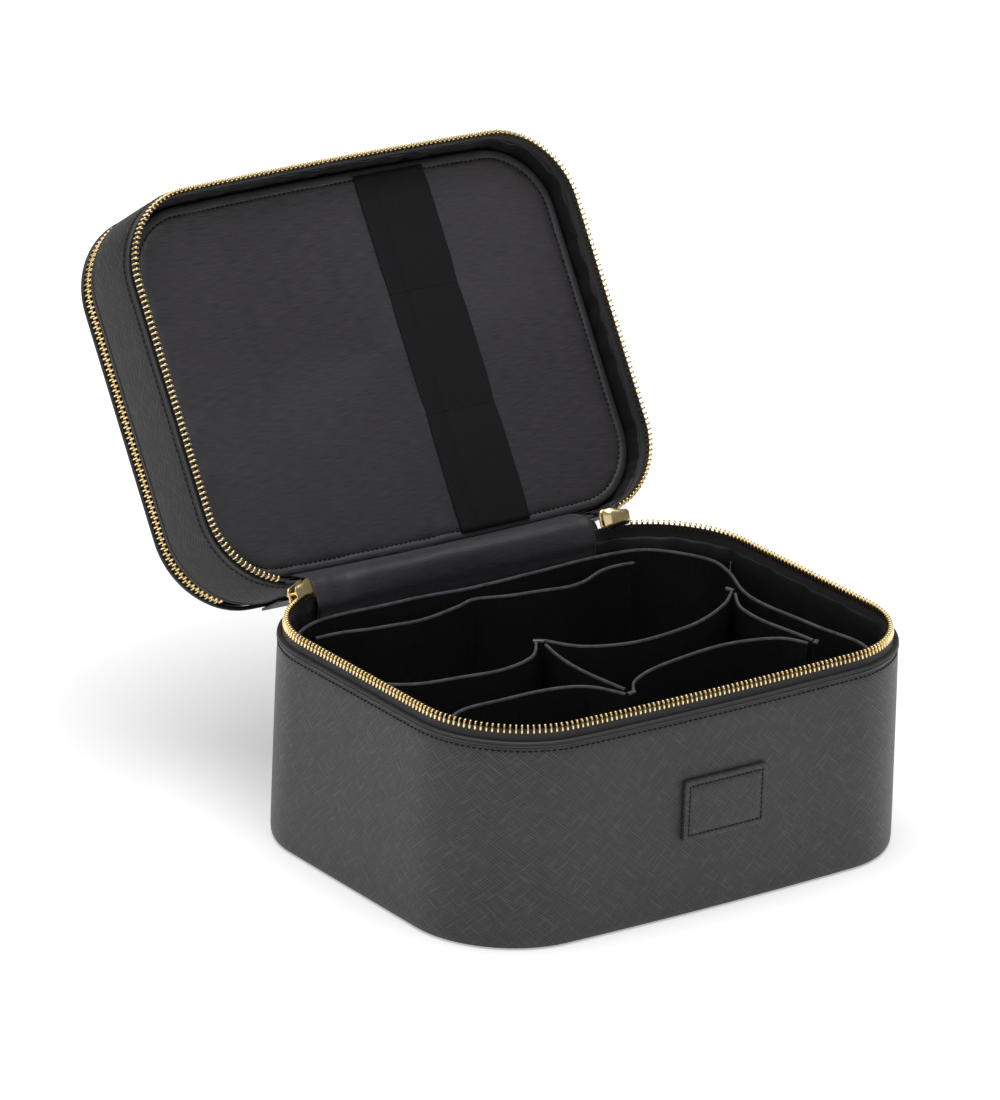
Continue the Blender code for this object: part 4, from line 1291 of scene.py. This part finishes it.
def bar(points, radius, sides=10):
    """A round bar through points in millimetres."""
    line = np.array(points, float)
    ahead = np.gradient(line, axis=0)
    ahead /= np.linalg.norm(ahead, axis=1)[:, None]
    verts = []
    reference = np.array((0.0, 0.0, 1.0)) if abs(ahead[0][2]) < 0.9 else np.array((1.0, 0.0, 0.0))
    for centre, tangent in zip(line, ahead):
        side = np.cross(tangent, reference)
        side /= np.linalg.norm(side)
        other = np.cross(side, tangent)
        for index in range(sides):
            angle = 2 * math.pi * index / sides
            verts.append((centre + radius * (side * math.cos(angle) + other * math.sin(angle))) * MM)
    faces = ring_faces(len(line), sides) + end_faces(len(line), sides)
    return np.array(verts), faces


def ring_round_x(major, minor, centre=(0.0, 0.0, 0.0), segments=28, sides=12, width=1.0):
    """A ring whose axis is X, in millimetres."""
    verts, faces = [], []
    for index in range(segments):
        angle = 2 * math.pi * index / segments
        for side in range(sides):
            around = 2 * math.pi * side / sides
            reach = major + minor * math.cos(around)
            x = centre[0] + minor * width * math.sin(around)
            y = centre[1] + reach * math.sin(angle)
            z = centre[2] + reach * math.cos(angle)
            verts.append((x * MM, y * MM, z * MM))
    for index in range(segments):
        here, there = index * sides, ((index + 1) % segments) * sides
        for side in range(sides):
            after = (side + 1) % sides
            faces.append((here + side, there + side, there + after, here + after))
    return np.array(verts), faces


def merged(parts):
    verts, faces, start = [], [], 0
    for part_verts, part_faces in parts:
        verts.append(part_verts)
        faces += [tuple(k + start for k in face) for face in part_faces]
        start += len(part_verts)
    return np.concatenate(verts), faces


SHIELD = (
    (-6.6, -2.3), (-6.6, 2.3), (-5.4, 3.5), (-1.0, 3.9), (3.2, 4.8), (5.4, 4.6), (6.7, 2.9),
    (6.9, 0.0), (6.7, -2.9), (5.4, -4.6), (3.2, -4.8), (-1.0, -3.9), (-5.4, -3.5),
)
INNER, OUTER = -1.7, 1.7


def slider_parts():
    outer_plate = plate(SHIELD, OUTER, OUTER + 1.1, dome=0.4)
    verts, faces = plate(SHIELD, -INNER, -INNER + 1.1, dome=0.9, rim=0.9)
    inner_plate = (verts * np.array((1.0, -1.0, 1.0)), faces)
    post = bar([(-3.5, INNER - 0.3, 0.0), (-3.5, OUTER + 0.3, 0.0)], 0.8)
    arch = [(-3.8, 2.0, 0), (-3.8, 4.4, 0), (-3.0, 5.5, 0), (-1.2, 5.8, 0), (1.2, 5.8, 0), (3.0, 5.5, 0),
            (3.8, 4.4, 0), (3.8, 2.0, 0)]
    bridge = bar(arch, 0.5)
    return merged([outer_plate, inner_plate, post, bridge])


def pull_parts():
    """A ring, a neck and a long tab with a raised rim round its face."""
    ring = ring_round_x(1.55, 0.42)
    neck = bar([(0, 0, -1.6), (0, 0, -4.2)], 0.75)
    outline = []
    for index in range(28):
        angle = 2 * math.pi * index / 28
        c, s = math.cos(angle), math.sin(angle)
        x = math.copysign(abs(c) ** 0.55, c) * (2.6 - 0.35 * s)
        z = math.copysign(abs(s) ** 0.75, s) * 7.6
        outline.append((x, z))
    tab_verts, tab_faces = plate(outline, -0.6, 0.6, dome=-0.25, rim=0.35)
    tab_verts = tab_verts + np.array((0.0, 0.0, -11.3 * MM))
    return merged([ring, neck, (tab_verts, tab_faces)])


def metal(name, parts, body, node, move):
    item = add_mesh(name, *parts, [GOLD], move=move, sharp=38.0)
    bevel = item.modifiers.new("worn edges", "BEVEL")
    bevel.width, bevel.segments, bevel.limit_method = 0.12 * MM, 2, "ANGLE"
    bevel.angle_limit = math.radians(38)
    return place(item, body, "pale_gold_metal", node)


BRIDGE = 5.8 * MM
# the main sliders lean back, because the open lid pulls its half of the zip over
SLIDER_TILT = Matrix.Rotation(math.radians(-24), 4, "X")


def build_sliders():
    for side in ("left", "right"):
        joint = JOINTS[f"main_pull_{side}_swing"]
        along = Vector(joint["axis"])
        turn = Matrix.Rotation(math.atan2(along.y, along.x), 4, "Z")
        hub = Matrix.Translation(joint["pos_m"]) @ turn
        centre = hub @ SLIDER_TILT @ Matrix.Translation((0.0, -BRIDGE, 0.0))
        if side == "right":
            centre = centre @ Matrix.Scale(-1.0, 4, (1.0, 0.0, 0.0))
        metal(f"main_slider_{side}_gold", slider_parts(), "case", f"main_slider_{side}", centre)
        metal(f"main_pull_{side}_gold", pull_parts(), f"main_pull_{side}", f"main_pull_{side}", hub)
    for side in ("left", "right"):
        joint = JOINTS[f"upper_pull_{side}_swing"]
        hub = LID_SHUT @ Vector(joint["pos_m"])
        place_shut = LID_OPEN @ Matrix.Translation(hub)
        slider = place_shut @ Matrix.Translation((0.0, BRIDGE, 0.0)) @ Matrix.Rotation(math.pi, 4, "Z")
        if side == "left":
            slider = slider @ Matrix.Scale(-1.0, 4, (1.0, 0.0, 0.0))
        pull = place_shut @ Matrix.Rotation(math.pi, 4, "X")
        body = f"upper_slider_{side}"
        metal(f"{body}_gold", slider_parts(), body, body, slider)
        metal(f"upper_pull_{side}_gold", pull_parts(), f"upper_pull_{side}", f"upper_pull_{side}", pull)


# ---- handle -------------------------------------------------------------------------
def build_handle():
    """A rolled leather grip that hangs from two brackets, sewn along its inner side."""
    axis = Vector(JOINTS["handle_swing"]["pos_m"])
    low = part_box("handle")[0]
    bracket_low, bracket_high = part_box("handle_bracket_right")
    half = (bracket_low.x + bracket_high.x) / 2
    drop = axis.z - low.z - 4.2 * MM - 3.0 * MM
    angles = np.linspace(0.0, math.pi, 49)
    x = -half * np.sign(np.cos(angles)) * np.abs(np.cos(angles)) ** 0.7
    z = -drop * np.sin(angles) ** 0.6 - 3.0 * MM
    z[0] = z[-1] = -3.0 * MM
    line = np.column_stack([x, np.zeros(len(x)), z]) + np.array(axis)
    line, tangents = spaced(line, 2.0 * MM)
    across = np.array((0.0, 1.0, 0.0))
    rows = []
    sides = 20
    for point, tangent in zip(line, tangents):
        out = np.cross(tangent, across)
        ring = []
        for index in range(sides):
            angle = 2 * math.pi * index / sides
            seam = 1.0 + 0.10 * math.exp(-(((angle - math.pi) / 0.35) ** 2))
            ring.append(point + 4.15 * MM * seam * (across * math.sin(angle) + out * math.cos(angle)))
        rows.append(np.array(ring))
    grip = loft("handle_leather", rows, [HATCHED], closed=True, cap=True)
    place(grip, "handle", "crosshatch_leather", "handle")
    inner = []
    for point, tangent in zip(line[2:-2], tangents[2:-2]):
        inner.append(point - np.cross(tangent, across) * 4.5 * MM)
    inner = np.array(inner)
    stitches(
        "handle_stitching", inner, lambda t: -np.cross(t, across), "handle", closed=False
    )
    for side in (-1, 1):
        eye = ring_round_x(2.75, 0.62, (side * half / MM, 0, 0), width=4.2)
        label = "left" if side < 0 else "right"
        item = add_mesh(f"handle_eye_{label}", *eye, [GOLD], move=Matrix.Translation(axis))
        place(item, "handle", "pale_gold_metal")


# ---- parts that stay as the frame has them ---------------------------------------------
def dress_frame_parts():
    boards = ("wall_board", "base_board", "lid_band_board", "lid_panel_board", "cover_board")
    for name in (*boards, "handle_bracket_left", "handle_bracket_right"):
        item = frame["nodes"][name]
        mat = GREYBOARD if name in boards else GOLD
        item.data.materials.clear()
        item.data.materials.append(mat)
        bevel = item.modifiers.new("soft edges", "BEVEL")
        bevel.width, bevel.segments, bevel.limit_method = 0.25 * MM, 2, "ANGLE"


build_walls()
build_rim()
build_lining()
build_patch()
build_organiser()
build_lid_band()
build_lid_zips()
build_gusset()
build_lid_panel()
build_strap()
build_cover()
build_leather_hinge()
build_cover_hinge()
build_satin_hinge()
build_sliders()
build_handle()
dress_frame_parts()
